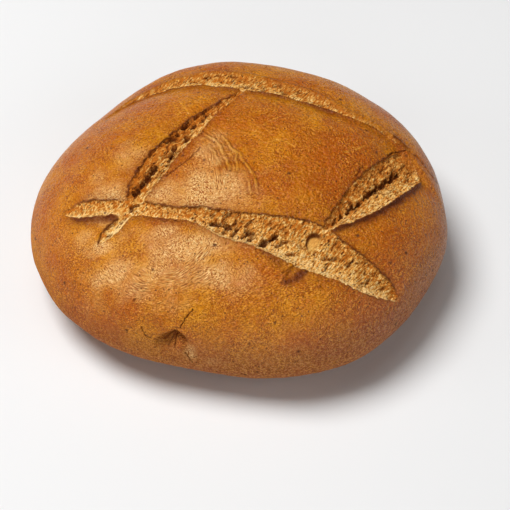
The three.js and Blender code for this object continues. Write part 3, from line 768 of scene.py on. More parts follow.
def cut_form(u, v):
    """What the four cuts do at each place: how far it sinks, how far it slides sideways on the map, and its
    make-up. The crust sinks by a share of an opening's width that fades over the shoulder. Of the four
    openings, crumb shares and edges the largest counts, and the slides are added. Paleness and roughness
    are those of the cut that a place lies furthest inside."""
    placed = {name: place_in_cut(cut, u, v) for name, cut in CUTS.items()}
    inside = np.max([place["inside"] for place in placed.values()], axis=0)
    sink, pale, rough = (np.zeros_like(u) for _ in range(3))
    edges, openings, crumbs = [], [], []
    for name, cut in CUTS.items():
        place = placed[name]
        here = place["inside"]
        drop = np.minimum(PANEL_DROP_SHARE * place["width"], PANEL_DROP_MOST)
        sink += drop * np.exp(np.minimum(here, 0) / PANEL_SHOULDER)
        crossed = np.max([other["inside"] for key, other in placed.items() if key != name], axis=0)
        edges.append(cut_edges(cut, place, crossed, u, v))
        valley = between(cut["valley"], smooth((place["along"] - VALLEY_TURN_FROM) / VALLEY_TURN))
        soft = np.where(place["on_right"], *cut["soft"])
        ended = smooth(place["to_end"] / cut["end_soft"])
        openings.append(cut_opening(cut, place, valley, soft, ended))
        crumb_here, pale_here, rough_here = cut_crumb(cut, place, valley, soft, ended, u, v)
        crumbs.append(crumb_here)
        furthest = (here > 0) & (here >= inside)
        pale = np.where(furthest, pale_here, pale)
        rough = np.where(furthest, rough_here, rough)
    lip, ridge, rim, shade = (
        np.max([edge[key] for edge in edges], axis=0) for key in ("lip", "ridge", "rim", "shade")
    )
    slide = sum(edge["slide"] for edge in edges)
    opening, crumb = np.max(openings, axis=0), np.max(crumbs, axis=0)
    torn = crumb * np.minimum(opening, 1)
    raised, gap, felt = crumb_relief(u, v)
    bubble, arch, even = bubble_relief(u, v)
    pocket = pocket_relief(u, v) * torn
    calm = 1 - even
    sink += opening - lip + pocket + torn * (bubble - calm * np.minimum(rough * raised, opening))
    # painted shade in the pockets, in the gaps behind flakes, under a leaning edge and under the bubble's
    # roof
    gap_shade = GAP_SHADE_DARKNESS * torn * calm * gap
    shade_line = SHADE_DARKNESS * shade * patchy(u, v, size=4, seed=19, level=0.7, swing=1.4)
    pocket_shade = smooth(pocket / POCKET_SHADE_FULL_AT_DEPTH)
    # paler on the raised felt and darker in the gaps behind flakes: painted light and shade on the crumb's
    # relief
    uneven = FELT_PAINTED_LIGHT * felt + GAP_PAINTED_SHADE * gap + PALE_GRAIN[0] * grain(u, v, PALE_GRAIN[1], seed=11)
    make_up = dict(
        crumb=crumb,
        pale=pale + calm * uneven + FLOOR_PALE * even,
        even=even,
        painted_shade=np.clip(np.max([pocket_shade, gap_shade, shade_line, arch * torn], axis=0), 0, 1),
        ridge=np.where(inside < 0, ridge, 0),
        rim=rim * patchy(u, v, size=6, seed=28, level=0.75),
    )
    return sink, slide, make_up


probe = np.linspace(-90, 90, 121)
probe_u, probe_v = (axis.ravel() for axis in np.meshgrid(probe, probe))
print(f"deepest place in the cuts: {cut_form(probe_u, probe_v)[0].max():.1f} mm")

# %% [markdown]
# ## The whole surface
# Now everything is added up. The smooth loaf is slid sideways under the lips, lifted by lumps, wrinkles and
# blisters, and sunk by the hollow, the cracks and the cuts. The same sums say what each place is made of,
# and where light and shade are painted on it: crumb or crust, pale or toasted, painted dark for the shade
# in its depths, baked and painted with shade along a ridge, dull and darker low down, painted with sheen
# where it faces the light. They are kept as numbers on the mesh, and the finish reads them later.

# %% Relief and make-up of every place
CRUST_LUMPS = ((58, 1.6), (26, 0.6))  # size, height
CRUST_GRAINS = ((0.16, 11, 12), (0.07, 4.5, 13))  # height, size, seed
LOW_GRAINS = ((0.5, 7, 14), (0.3, 3, 15))
LOW_ROUGH_FROM, LOW_ROUGH_FADE = 4.0, 22.0  # walks below the waist
BASE_EDGE = 6.0
CUT_FADE_ABOVE_WAIST = 12.0
# The low belt reaches higher on the side turned from the main lamp; it is darkened there with painted shade,
# and its russet has the greyish cast of a painted reflection.
SHADED_SIDE_BEARING = -0.6  # radians
LOW_BELT_ABOVE_WAIST, LOW_BELT_LEAN, LOW_BELT_FADE = 25.0, 22.0, 55.0
# Shares of the dark red: painted shade low down and in the long folds' troughs, baked colour with painted
# shade behind a raised lip.
LOW_PAINTED_SHADE, TROUGH_PAINTED_SHADE, RIDGE_BAKE_AND_SHADE = 0.22, 0.6, 0.9
# share of a painted highlight on the long folds' crests
CREST_HIGHLIGHT = 0.5
MATT_BY_HEIGHT = ((30, 62), (1, 0))
MATT_BY_EAST = ((40, 90), (1, 0.25))
MATT_BY_NORTH = ((60, 80), (0, 0.5))


def loaf_surface(u, v):
    """The loaf: the smooth loaf at (u, v) slid sideways under the lips, then lifted along the way it faces by
    lumps, grain, wrinkles and blisters, and sunk by the hollow, the cracks and the cuts. Gives the points,
    and their make-up as one number per point for each name."""
    walk = np.hypot(u, v)
    above_base = 1 - smooth((walk - WAIST_WALK) / (BASE_WALK - WAIST_WALK))
    on_crown = 1 - smooth((walk - WAIST_WALK) / CUT_FADE_ABOVE_WAIST + 1)
    sink, slide, make_up = cut_form(u, v)
    crack, crack_shade = crack_relief(u, v)
    wrinkle, make_up["fold"], make_up["fold_across"], make_up["fold_along"] = fold_relief(u, v)
    long_fold, crest, trough = long_fold_relief(u, v)
    hollow = hollow_share(u, v)
    lift = sum(height * lumps(u, v, size) for size, height in CRUST_LUMPS) + grains(u, v, CRUST_GRAINS)
    lift += wrinkle + blister_relief(u, v) + long_fold
    below_waist = smooth((walk - WAIST_WALK - LOW_ROUGH_FROM) / LOW_ROUGH_FADE)
    rough = below_waist * grains(u, v, LOW_GRAINS) * smooth((BASE_WALK - walk) / BASE_EDGE)
    skin = 1 - make_up["crumb"]
    points, facing = smooth_loaf(u + on_crown * slide[:, 0], v + on_crown * slide[:, 1])
    total = above_base * (lift - HOLLOW_DEPTH * hollow - crack * skin) + rough - on_crown * sink
    points += facing * total[:, None]
    # painted shade in the cracks on the crust
    make_up["painted_shade"] = np.maximum(make_up["painted_shade"], skin * crack_shade)
    towards_shaded_side = np.cos(np.arctan2(v, u) - SHADED_SIDE_BEARING)
    low = smooth((walk - WAIST_WALK + LOW_BELT_ABOVE_WAIST + LOW_BELT_LEAN * towards_shaded_side) / LOW_BELT_FADE)
    bake_and_shade = LOW_PAINTED_SHADE * low + TROUGH_PAINTED_SHADE * trough + RIDGE_BAKE_AND_SHADE * make_up.pop("ridge") + make_up.pop("rim")
    make_up["low"] = low
    make_up["bake_and_shade"] = np.clip(bake_and_shade + baked_and_shaded_share(u, v), 0, 1)
    make_up["hollow"] = hollow
    matt_side = np.interp(points[:, 2], *MATT_BY_HEIGHT) * np.interp(points[:, 0], *MATT_BY_EAST)
    make_up["matt"] = np.maximum(matt_side, np.interp(points[:, 1], *MATT_BY_NORTH))
    # painted sheen, where the crust catches the light
    make_up["painted_sheen"] = zone_share(u, v, SHEEN_ZONES, seed=21)
    # redder crust, partly painted shade
    make_up["red_and_shade"] = zone_share(u, v, RED_AND_SHADED_ZONES, seed=22)
    # pale stretch marks, and a painted highlight on the long folds' crests
    make_up["mark_and_highlight"] = np.maximum(mark_share(u, v), CREST_HIGHLIGHT * crest)
    return points, make_up


sample = loaf_surface(np.array([0.0, 60.0]), np.array([0.0, 0.0]))[0]
print("crown and a place 60 mm from it, mm:", np.round(sample, 1).tolist())

# %% [markdown]
# ## The net
# A grid of equal squares fine enough for the crumb would need millions of faces. So the grid starts coarse,
# as rings and sectors on the crust map, and edges are halved where the surface needs it: down to about half
# a millimetre at the edges of the cuts, and about three millimetres on plain crust. Afterwards the places
# that lie beside the edge of a cut are moved onto it, so that the crust's lips run clean.

# %% Rings and sectors
NET_SECTORS = 60
NET_RING_STEP = 6.8
BASE_RINGS = 4


def ring_net():
    """Rings at equal walks from the crown, each turned half a sector from the last, with one place at the
    crown and one in the middle of the base. Gives the places on the map and their triangles."""
    rings = round(BASE_WALK / NET_RING_STEP)
    side_walks = np.linspace(0, BASE_WALK, rings + 1)[1:]
    base_walks = np.linspace(BASE_WALK, WHOLE_WALK, BASE_RINGS + 1)[1:-1]
    walks = np.concatenate([side_walks, base_walks])
    ring, sector = np.meshgrid(np.arange(len(walks)), np.arange(NET_SECTORS), indexing="ij")
    bearing = (sector + 0.5 * (ring % 2)) * 2 * np.pi / NET_SECTORS
    places = np.stack([walks[ring] * np.cos(bearing), walks[ring] * np.sin(bearing)], axis=-1)
    places = np.concatenate([[[0, 0]], places.reshape(-1, 2), [[WHOLE_WALK, 0]]])

    def at(r, s):
        """The number of the place on ring r, sector s, counted round and round."""
        return 1 + r * NET_SECTORS + s % NET_SECTORS

    turn, r, s = ring[:-1] % 2, ring[:-1], sector[:-1]
    inner, inner_next = at(r, s), at(r, s + 1)
    outer, outer_next = at(r + 1, s + turn), at(r + 1, s + turn + 1)
    even = turn == 0
    first = np.stack([inner, outer, inner_next], axis=-1)
    second = np.stack([
        np.where(even, outer, inner),
        np.where(even, outer_next, at(r + 1, s)),
        np.where(even, inner_next, outer),
    ], axis=-1)
    last, each = len(walks) - 1, np.arange(NET_SECTORS)
    crown = np.stack([0 * each, at(0, each), at(0, each + 1)], axis=-1)
    base = np.stack([at(last, each), 0 * each + len(places) - 1, at(last, each + 1)], axis=-1)
    return places, np.concatenate([crown, first.reshape(-1, 3), second.reshape(-1, 3), base])


places, triangles = ring_net()
print("rings and sectors:", len(triangles), "triangles")

# %% [markdown]
# ## Halving where detail asks for it
# Blender's subdivision modifier halves every edge alike. Here a rule says how long an edge may stay at each
# place, and every longer edge is halved, round by round.

# %% Halve the long edges, and settle places on the cuts' edges
SPLIT_ROUNDS = 6
EDGE_BY_DISTANCE_TO_CUT = ((-3.0, -0.5, 0.0, 0.8, 3.0, 14.0), (0.80, 0.72, 0.56, 0.72, 1.7, 3.2))
EDGE_BY_DISTANCE_TO_CRACK = ((0.8, 3.0, 12.0), (0.45, 1.0, 2.7))
EDGE_BY_DISTANCE_TO_MARK = ((1.5, 3.2), (0.66, 2.7))
EDGE_BY_DISTANCE_TO_BUBBLE = ((1.1, 1.8), (0.40, 2.7))  # in half lengths of the bubble
EDGE_BY_HOLLOW = ((0.02, 0.2), (2.7, 0.75))
EDGE_BY_FOLD = ((0.1, 0.5), (2.7, 1.15))
EDGE_BY_BLISTER = ((0.02, 0.2), (2.7, 0.8))
FAR_BACK_FROM, FAR_BACK_FADE, FAR_BACK_LONGER = 40.0, 20.0, 0.35
BELOW_WAIST_FADE, BELOW_WAIST_LONGER = 30.0, 0.5
ON_BASE = 0.01
EDGE_PULL = 0.3
EDGE_PROBE = 0.03
LEAST_STEEPNESS = 0.5


def nearest_line(u, v, listed):
    """The distance to the nearest of the listed lines."""
    return np.min([distance_to_line(u, v, points) for points, *_ in listed], axis=0)


def longest_edge(u, v):
    """The longest edge that may stay at a place: read off a table for the distance to each kind of mark, or
    for the mark's share, of which the shortest counts. The cuts' is longer far back, all below the waist."""
    far_back = 1 + FAR_BACK_LONGER * smooth((v - FAR_BACK_FROM) / FAR_BACK_FADE)
    below_waist = 1 + BELOW_WAIST_LONGER * smooth((np.hypot(u, v) - WAIST_WALK) / BELOW_WAIST_FADE)
    from_bubble = np.hypot(u - BUBBLE_CENTRE[0], v - BUBBLE_CENTRE[1]) / max(BUBBLE_HALF_SIZES)
    lengths = [
        far_back * np.interp(-inside_cuts(u, v), *EDGE_BY_DISTANCE_TO_CUT),
        np.interp(nearest_line(u, v, CRACKS), *EDGE_BY_DISTANCE_TO_CRACK),
        np.interp(nearest_line(u, v, STRETCH_MARKS + LONG_FOLDS), *EDGE_BY_DISTANCE_TO_MARK),
        np.interp(from_bubble, *EDGE_BY_DISTANCE_TO_BUBBLE),
        np.interp(hollow_share(u, v), *EDGE_BY_HOLLOW),
        np.interp(fold_relief(u, v)[1], *EDGE_BY_FOLD),
        np.interp(blister_relief(u, v), *EDGE_BY_BLISTER),
    ]
    return below_waist * np.min(lengths, axis=0)


def turned(triangles, middles, first):
    """The same triangles and edge middles, each started from another of its corners."""
    order = (first[:, None] + np.arange(3)) % 3
    return np.take_along_axis(triangles, order, axis=1), np.take_along_axis(middles, order, axis=1)


def split(places, triangles):
    """One round of halving: each edge that is too long gets a place half way in walk and bearing, and a
    triangle is cut into two, three or four by how many of its edges did."""
    pairs = np.sort(triangles[:, [[0, 1], [1, 2], [2, 0]]], axis=2).reshape(-1, 2)
    keys = pairs[:, 0] * len(places) + pairs[:, 1]
    _, first, which = np.unique(keys, return_index=True, return_inverse=True)
    ends = pairs[first]
    walks = np.hypot(*places.T)
    middle = places[ends].mean(axis=1)
    middle *= (walks[ends].mean(axis=1) / np.maximum(np.hypot(*middle.T), 1e-9))[:, None]
    points = smooth_loaf(*places.T)[0]
    lengths = np.linalg.norm(points[ends[:, 0]] - points[ends[:, 1]], axis=1)
    long = (lengths > longest_edge(*middle.T)) & (walks[ends].max(axis=1) < BASE_WALK + ON_BASE)
    number = np.full(len(ends), -1)
    number[long] = len(places) + np.arange(long.sum())
    middles = number[which].reshape(-1, 3)
    places = np.concatenate([places, middle[long]])
    count = (middles >= 0).sum(axis=1)
    none, one, two, three = (count == k for k in range(4))
    made = [triangles[none]]

    corners, mids = turned(triangles[one], middles[one], np.argmax(middles[one] >= 0, axis=1))
    (a, b, c), m = corners.T, mids[:, 0]
    made += [np.stack([a, m, c], 1), np.stack([m, b, c], 1)]

    corners, mids = turned(triangles[two], middles[two], np.argmax(middles[two] < 0, axis=1) + 1)
    (a, b, c), m, n = corners.T, mids[:, 0], mids[:, 1]
    short = np.hypot(*(places[a] - places[n]).T) < np.hypot(*(places[m] - places[c]).T)
    made += [np.stack([m, b, n], 1), np.stack([a, m, np.where(short, n, c)], 1)]
    made += [np.stack([np.where(short, a, m), n, c], 1)]

    (a, b, c), (m, n, o) = triangles[three].T, middles[three].T
    made += [np.stack(corners, 1) for corners in ((a, m, o), (m, b, n), (o, n, c), (m, n, o))]
    return places, np.concatenate(made)


def settle_on_edges(places):
    """Places beside the edge of a cut step down its slope of insideness, onto the edge itself."""
    u, v = places.T
    inside = inside_cuts(u, v)
    slope_u = (inside_cuts(u + EDGE_PROBE, v) - inside) / EDGE_PROBE
    slope_v = (inside_cuts(u, v + EDGE_PROBE) - inside) / EDGE_PROBE
    steepness = np.maximum(slope_u ** 2 + slope_v ** 2, LEAST_STEEPNESS)
    beside = (np.abs(inside) < EDGE_PULL) & (np.hypot(u, v) < WAIST_WALK)
    step = np.where(beside, inside / steepness, 0)
    return places - np.stack([step * slope_u, step * slope_v], axis=-1)


for _ in range(SPLIT_ROUNDS):
    places, triangles = split(places, triangles)
places = settle_on_edges(places)
print("after halving:", len(triangles), "triangles")

# %% [markdown]
# ## The loaf as a mesh
# The places on the map become points in space, and the loaf is set on the box that the construction model
# gives. Its make-up goes along as numbers on the points: what is crumb, how pale or even it is and how much
# shade is painted on it, where the folds lie and how far across and along them, what is baked or painted
# with shade, hollow, matt or low, where sheen is painted, what is red or painted with shade, and where the
# pale marks and the painted highlights of fold crests run. A finish could be painted on a picture
# instead, but would need the mesh unfolded.

# %% Make the mesh
def mesh_piece(name, points, triangles, numbers):
    """A mesh object at the origin from points in millimetres, with one float per point for each name."""
    mesh = bpy.data.meshes.new(name)
    mesh.vertices.add(len(points))
    mesh.vertices.foreach_set("co", (points * MM).astype(np.float32).ravel())
    mesh.loops.add(triangles.size)
    mesh.loops.foreach_set("vertex_index", triangles.astype(np.int32).ravel())
    mesh.polygons.add(len(triangles))
    mesh.polygons.foreach_set("loop_start", np.arange(0, triangles.size, 3, dtype=np.int32))
    mesh.update(calc_edges=True)
    mesh.polygons.foreach_set("use_smooth", np.ones(len(triangles), bool))
    for key, values in numbers.items():
        mesh.attributes.new(key, "FLOAT", "POINT").data.foreach_set("value", values.astype(np.float32))
    mesh.validate()
    piece = bpy.data.objects.new(name, mesh)
    bpy.context.collection.objects.link(piece)
    return piece


points, make_up = loaf_surface(*places.T)
low_corner, high_corner = (np.array(corner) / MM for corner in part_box("loaf"))
middle = (points.min(axis=0) + points.max(axis=0)) / 2
to_frame = np.array([*((low_corner + high_corner) / 2 - middle)[:2], low_corner[2] - points[:, 2].min()])
loaf = mesh_piece("whole_wheat_loaf", points + to_frame, triangles, make_up)
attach(loaf, "root")
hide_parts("loaf")
print("loaf, mm:", np.round(points.max(axis=0) - points.min(axis=0), 1), "moved by", np.round(to_frame, 2))

# %% [markdown]
# ## Tools for the finish
# One material does both crust and crumb, and the numbers on the mesh choose between them. It is a tree of
# shader nodes, which could be wired by hand in the shader editor. A few helpers make each node in one line.

# %% Helpers for the finish
MIX_FACTOR, MIX_A, MIX_B, MIX_RESULT = 0, 6, 7, 2


def add_node(tree, kind, inputs=(), **settings):
    """A shader node with its settings, and its inputs linked to a socket or set to a value."""
    node = tree.nodes.new(kind)
    for key, value in settings.items():
        setattr(node, key, value)
    for key, value in dict(inputs).items():
        if isinstance(value, bpy.types.NodeSocket):
            tree.links.new(value, node.inputs[key])
        else:
            node.inputs[key].default_value = value
    return node


def joined(tree, operation, first, *others):
    """Numbers joined by one kind of sum, two at a time from the first on."""
    for other in others:
        first = add_node(tree, "ShaderNodeMath", {0: first, 1: other}, operation=operation).outputs[0]
    return first


def product(tree, *numbers):
    """The numbers multiplied."""
    return joined(tree, "MULTIPLY", *numbers)


def mix_colour(tree, share, first, second):
    """A colour that goes from the first to the second as the share goes from 0 to 1."""
    inputs = {MIX_FACTOR: share, MIX_A: first, MIX_B: second}
    return add_node(tree, "ShaderNodeMix", inputs, data_type="RGBA").outputs[MIX_RESULT]


def mix_number(tree, share, first, second):
    """A number that goes from the first to the second as the share goes from 0 to 1."""
    return add_node(tree, "ShaderNodeMix", {"Factor": share, "A": first, "B": second}).outputs["Result"]


def remap(tree, value, span, to=(0.0, 1.0)):
    """A number moved from one span to another in a straight line, and held at its ends."""
    inputs = {"Value": value, "From Min": span[0], "From Max": span[1], "To Min": to[0], "To Max": to[1]}
    return add_node(tree, "ShaderNodeMapRange", inputs).outputs["Result"]


def noise(tree, where, size, detail=2.0, roughness=0.5):
    """Cloudy noise whose clouds are about the given size in millimetres."""
    inputs = {"Vector": where, "Scale": 1 / (size * MM), "Detail": detail, "Roughness": roughness}
    return add_node(tree, "ShaderNodeTexNoise", inputs).outputs["Fac"]


def cells(tree, where, size):
    """A cell pattern of the given size in millimetres: distance from the cell's point, and its own colour."""
    node = add_node(tree, "ShaderNodeTexVoronoi", {"Vector": where, "Scale": 1 / (size * MM)})
    return node.outputs["Distance"], node.outputs["Color"]


def drawn_out(tree, where, bearing, stretch):
    """The same places, with everything drawn out level along a bearing."""
    inputs = {"Vector": where, "Rotation": (0, 0, bearing), "Scale": (stretch, 1, 1)}
    return add_node(tree, "ShaderNodeMapping", inputs, vector_type="TEXTURE").outputs["Vector"]


def attribute(tree, name):
    """A number kept on the mesh."""
    return add_node(tree, "ShaderNodeAttribute", attribute_name=name).outputs["Fac"]


print("numbers kept on the mesh:", ", ".join(make_up))

# %% [markdown]
# ## The grain of the skin
# Seen close, the crust is a skin of short strokes, hair-thin wrinkles and, beside the left cut, regular
# folds. A photograph of leather would look alike, but patterns worked out from the place in space have no
# seams. Low down, where the skin dried first, it is sandy instead.

# %% Strokes, wrinkles and folds
FLECK_SIZE = 0.56
FLECK_LENGTH = 3.0
STROKE_STRETCH = 2.0
STROKE_BEARINGS = (0.3, -1.1)  # radians
STROKE_PATCH_SIZE, STROKE_PATCH_SPAN = 16.0, (0.46, 0.54)
WRINKLE_SIZE = 3.0
FOLD_LIFT = 0.7


def flecks(tree, where):
    """The grain of the skin: a fine noise drawn out into strokes, which run one of two ways in patches, and
    along the folds where the mesh has them."""
    stretched = [drawn_out(tree, where, turn, STROKE_STRETCH) for turn in STROKE_BEARINGS]
    two_ways = [noise(tree, drawn, FLECK_SIZE, detail=1) for drawn in stretched]
    patches = remap(tree, noise(tree, where, STROKE_PATCH_SIZE), STROKE_PATCH_SPAN)
    strokes = mix_number(tree, patches, *two_ways)
    across = joined(tree, "DIVIDE", attribute(tree, "fold_across"), FLECK_SIZE)
    along = joined(tree, "DIVIDE", attribute(tree, "fold_along"), FLECK_LENGTH)
    on_folds = add_node(tree, "ShaderNodeCombineXYZ", {"X": across, "Y": along}).outputs["Vector"]
    inputs = {"Vector": on_folds, "Scale": 1.0, "Detail": 1.0}
    folds = add_node(tree, "ShaderNodeTexNoise", inputs).outputs["Fac"]
    return mix_number(tree, attribute(tree, "fold"), strokes, folds)


def crust_wrinkles(tree, where):
    """The crust's fine relief: hair-thin crests of a ridged noise, run every way."""
    inputs = {"Vector": where, "Scale": 1 / (WRINKLE_SIZE * MM), "Detail": 3.0, "Roughness": 0.6}
    inputs |= {"Gain": 2.0, "Offset": 0.9}
    node = add_node(tree, "ShaderNodeTexNoise", inputs, noise_type="RIDGED_MULTIFRACTAL", normalize=True)
    return node.outputs["Fac"]


def fold_lines(tree):
    """The arcs of wrinkled skin: a zigzag over the walk across the folds, as strong as the mesh's share."""
    zigzag = joined(tree, "PINGPONG", attribute(tree, "fold_across"), 0.5 * FOLD_SPACING)
    return product(tree, zigzag, attribute(tree, "fold"), FOLD_LIFT)


print(f"strokes {FLECK_SIZE} mm wide, wrinkles of {WRINKLE_SIZE} mm")

# %% [markdown]
# ## The crust's colours
# The crust of a wheat loaf is golden on the crown and chestnut where it caught more heat, mottled, with dark
# specks of bran; some of the chestnut zones are painted shade on panels turned away from the light. Low
# down it is russet and sandy, painted darker for the shade there, with a greyish cast that is a painted
# reflection. Where it faces the light a paler tan paints its sheen. Painting it would be quick for one
# view; layers laid over one another, each with its share, hold from all sides.

# %% Colours of the crust
# Each colour is its share of red, green and blue light, and full cover
GOLDEN = (0.67, 0.238, 0.005, 1)
CHESTNUT = (0.47, 0.094, 0.003, 1)
TAN_AND_SHEEN = (0.79, 0.405, 0.130, 1)
BLOTCH = (0.36, 0.072, 0.002, 1)
# dark red-brown, for baked crust and for painted shade
BAKED_AND_SHADED = (0.17, 0.036, 0.004, 1)
# russet with a greyish cast: the lower crust's own colour and a painted reflection
RUSSET_AND_REFLECTION = (0.47, 0.148, 0.095, 1)
GRAIN_DARK = (0.23, 0.053, 0.005, 1)
GRAIN_LIGHT = (0.90, 0.430, 0.050, 1)
CREAM_AND_GLINT = (1.0, 0.680, 0.290, 1)
BRAN = (0.09, 0.022, 0.005, 1)
# A span is where in a noise a layer starts and where it is full; a most is its share when full
CLOUD_SIZE, CLOUD_SPAN, CLOUD_MOST = 26.0, (0.36, 0.64), 0.9
BLOTCH_SIZE, BLOTCH_SPAN, BLOTCH_MOST = 8.0, (0.50, 0.70), 0.6
RED_AND_SHADE_MOST, RUSSET_AND_REFLECTION_MOST, SHEEN_MOST = 0.95, 0.55, 0.75
SAND_DARK_SPAN, SAND_DARK_MOST = (0.49, 0.38), 0.80
SAND_PALE_SPAN, SAND_PALE_MOST = (0.51, 0.61), 0.70
LIVELY_SIZE, LIVELY_SPAN, LIVELY_SHARES = 14.0, (0.36, 0.64), (0.45, 0.82)
DARK_FLECK_SPAN, PALE_FLECK_SPAN = (0.48, 0.37), (0.53, 0.65)
PALE_FLECK_MOST = (0.7, 0.9)  # on plain crust and in the painted sheen
SHEEN_FLECK_RED = 0.35
BRAN_CELLS = ((3.0, 0.54, 0.14), (9.0, 0.50, 0.10))  # size, least brightness of a chosen cell, radius
BRAN_CORE, BRAN_RIM, BRAN_MOST = 0.6, 1.5, 0.9


def crust_colour(tree, where, fine, sand):
    """Clouds of golden and chestnut, redder where the mesh says so, partly as painted shade, with
    blotches; then russet low down, with the greyish cast of a painted reflection, and dark and pale
    grains of sand; then the painted sheen in tan; then dark and pale flecks, livelier in patches and in
    the sheen, where the pale ones turn to cream and paint glints; then pale marks and the painted
    highlights of fold crests, baked places with their painted shade, and specks of bran in some of the
    cells of two patterns."""
    painted_sheen, low = attribute(tree, "painted_sheen"), attribute(tree, "low")
    clouds = noise(tree, where, CLOUD_SIZE, detail=4, roughness=0.62)
    clouds = remap(tree, clouds, CLOUD_SPAN, (0, CLOUD_MOST))
    colour = mix_colour(tree, clouds, GOLDEN, CHESTNUT)
    # redder in the red zones, partly painted shade
    colour = mix_colour(tree, product(tree, attribute(tree, "red_and_shade"), RED_AND_SHADE_MOST), colour, CHESTNUT)
    blotches = noise(tree, where, BLOTCH_SIZE, detail=3, roughness=0.6)
    blotches = remap(tree, blotches, BLOTCH_SPAN, (0, BLOTCH_MOST))
    colour = mix_colour(tree, blotches, colour, BLOTCH)
    # russet low down, with the greyish cast of a painted reflection
    colour = mix_colour(tree, product(tree, low, RUSSET_AND_REFLECTION_MOST), colour, RUSSET_AND_REFLECTION)
    dark_sand = remap(tree, sand, SAND_DARK_SPAN, (0, SAND_DARK_MOST))
    colour = mix_colour(tree, product(tree, dark_sand, low), colour, GRAIN_DARK)
    pale_sand = remap(tree, sand, SAND_PALE_SPAN, (0, SAND_PALE_MOST))
    colour = mix_colour(tree, product(tree, pale_sand, low), colour, TAN_AND_SHEEN)
    # the painted sheen: tan where the crust faces the light
    colour = mix_colour(tree, product(tree, painted_sheen, SHEEN_MOST), colour, TAN_AND_SHEEN)
    patches = remap(tree, noise(tree, where, LIVELY_SIZE), LIVELY_SPAN, LIVELY_SHARES)
    lively = joined(tree, "MAXIMUM", painted_sheen, patches)
    dark_fleck = mix_colour(tree, product(tree, painted_sheen, SHEEN_FLECK_RED), GRAIN_DARK, CHESTNUT)
    dark_share = product(tree, remap(tree, fine, DARK_FLECK_SPAN), lively)
    colour = mix_colour(tree, dark_share, colour, dark_fleck)
    # in the painted sheen the pale flecks turn to cream and paint glints
    pale_fleck_and_glint = mix_colour(tree, painted_sheen, GRAIN_LIGHT, CREAM_AND_GLINT)
    pale_most = remap(tree, painted_sheen, (0, 1), PALE_FLECK_MOST)
    pale_share = product(tree, remap(tree, fine, PALE_FLECK_SPAN), pale_most, lively)
    colour = mix_colour(tree, pale_share, colour, pale_fleck_and_glint)
    # pale marks, and painted highlights on fold crests
    colour = mix_colour(tree, attribute(tree, "mark_and_highlight"), colour, pale_fleck_and_glint)
    # baked colour and painted shade
    colour = mix_colour(tree, attribute(tree, "bake_and_shade"), colour, BAKED_AND_SHADED)
    for size, least, radius in BRAN_CELLS:
        distance, own = cells(tree, where, size)
        speck = remap(tree, distance, (BRAN_CORE * radius, BRAN_RIM * radius), (BRAN_MOST, 0))
        chosen = joined(tree, "GREATER_THAN", own, least)
        colour = mix_colour(tree, product(tree, speck, chosen), colour, BRAN)
    return colour


print("crust from", GOLDEN[:3], "to", CHESTNUT[:3])

# %% [markdown]
# ## The crumb's colours
# Crumb is matt, pale where it tore last and toasted where it lay open longest, with the shade of crevices
# between its fibres painted in dark. The mesh gives the paleness, and a noise drawn out along the fibres
# breaks it up.

# %% Colours of the crumb
TOASTED = (0.53, 0.150, 0.011, 1)
FRESH = (0.90, 0.490, 0.115, 1)
# the dark brown of painted shade
DEEP_SHADE_BROWN = (0.095, 0.016, 0.001, 1)
FIBRE_STRETCH = 3.5
CRUMB_SIZE = 0.9
CRUMB_DETAIL, CRUMB_ROUGHNESS = 2.5, 0.7
UNEVENNESS = (5.6, 1.2)  # on torn crumb and on the bubble's smooth floor
CREAM_SPAN, CREAM_MOST = (0.85, 1.35), 0.95
# painted shade for the crevices
CREVICE_SIZE, CREVICE_SPAN, CREVICE_MOST = 1.1, (0.46, 0.35), 0.17


def crumb_colour(tree, fibres):
    """Toasted to fresh, and on to cream, by the mesh's paleness plus a noise of many sizes; then painted
    shade for crevices, from a second noise. Both are weaker where the crumb is even."""
    uneven = remap(tree, attribute(tree, "even"), (0, 1), UNEVENNESS)
    torn = noise(tree, fibres, CRUMB_SIZE, CRUMB_DETAIL, CRUMB_ROUGHNESS)
    torn = joined(tree, "SUBTRACT", torn, 0.5)
    share = joined(tree, "ADD", attribute(tree, "pale"), product(tree, torn, uneven))
    colour = mix_colour(tree, remap(tree, share, (0, 1)), TOASTED, FRESH)
    colour = mix_colour(tree, remap(tree, share, CREAM_SPAN, (0, CREAM_MOST)), colour, CREAM_AND_GLINT)
    crevice_shade = noise(tree, fibres, CREVICE_SIZE, CRUMB_DETAIL, CRUMB_ROUGHNESS)
    crevice_shade = remap(tree, crevice_shade, CREVICE_SPAN, (0, CREVICE_MOST))
    return mix_colour(tree, product(tree, crevice_shade, uneven), colour, DEEP_SHADE_BROWN)


print("crumb from", TOASTED[:3], "to", FRESH[:3])

# %% [markdown]
# ## The finish put together
# A baked crust has a satin gloss that breaks up over its grain. Low on the sides and far back it is matt,
# and crumb and cracks have no gloss at all. The fine relief could be modelled, but a bump that only bends
# the light is enough for what is thinner than the mesh can show.

# %% Lay the finish on the loaf
SAND_SIZE = 1.4
SAND_LIFT = 3.0
FELT_SIZE, FELT_LIFT = 1.2, 2.0
HOLLOW_PAINTED_SHADE, DARK_SHADE = 0.26, 0.9
SATIN_SIZE, SATIN_SPAN, SATIN_ROUGHNESS = 2.0, (0.3, 0.7), (0.25, 0.36)
MATT_ROUGHNESS = 0.85
GLOSS = 0.17
RELIEF_DEPTH = 0.44


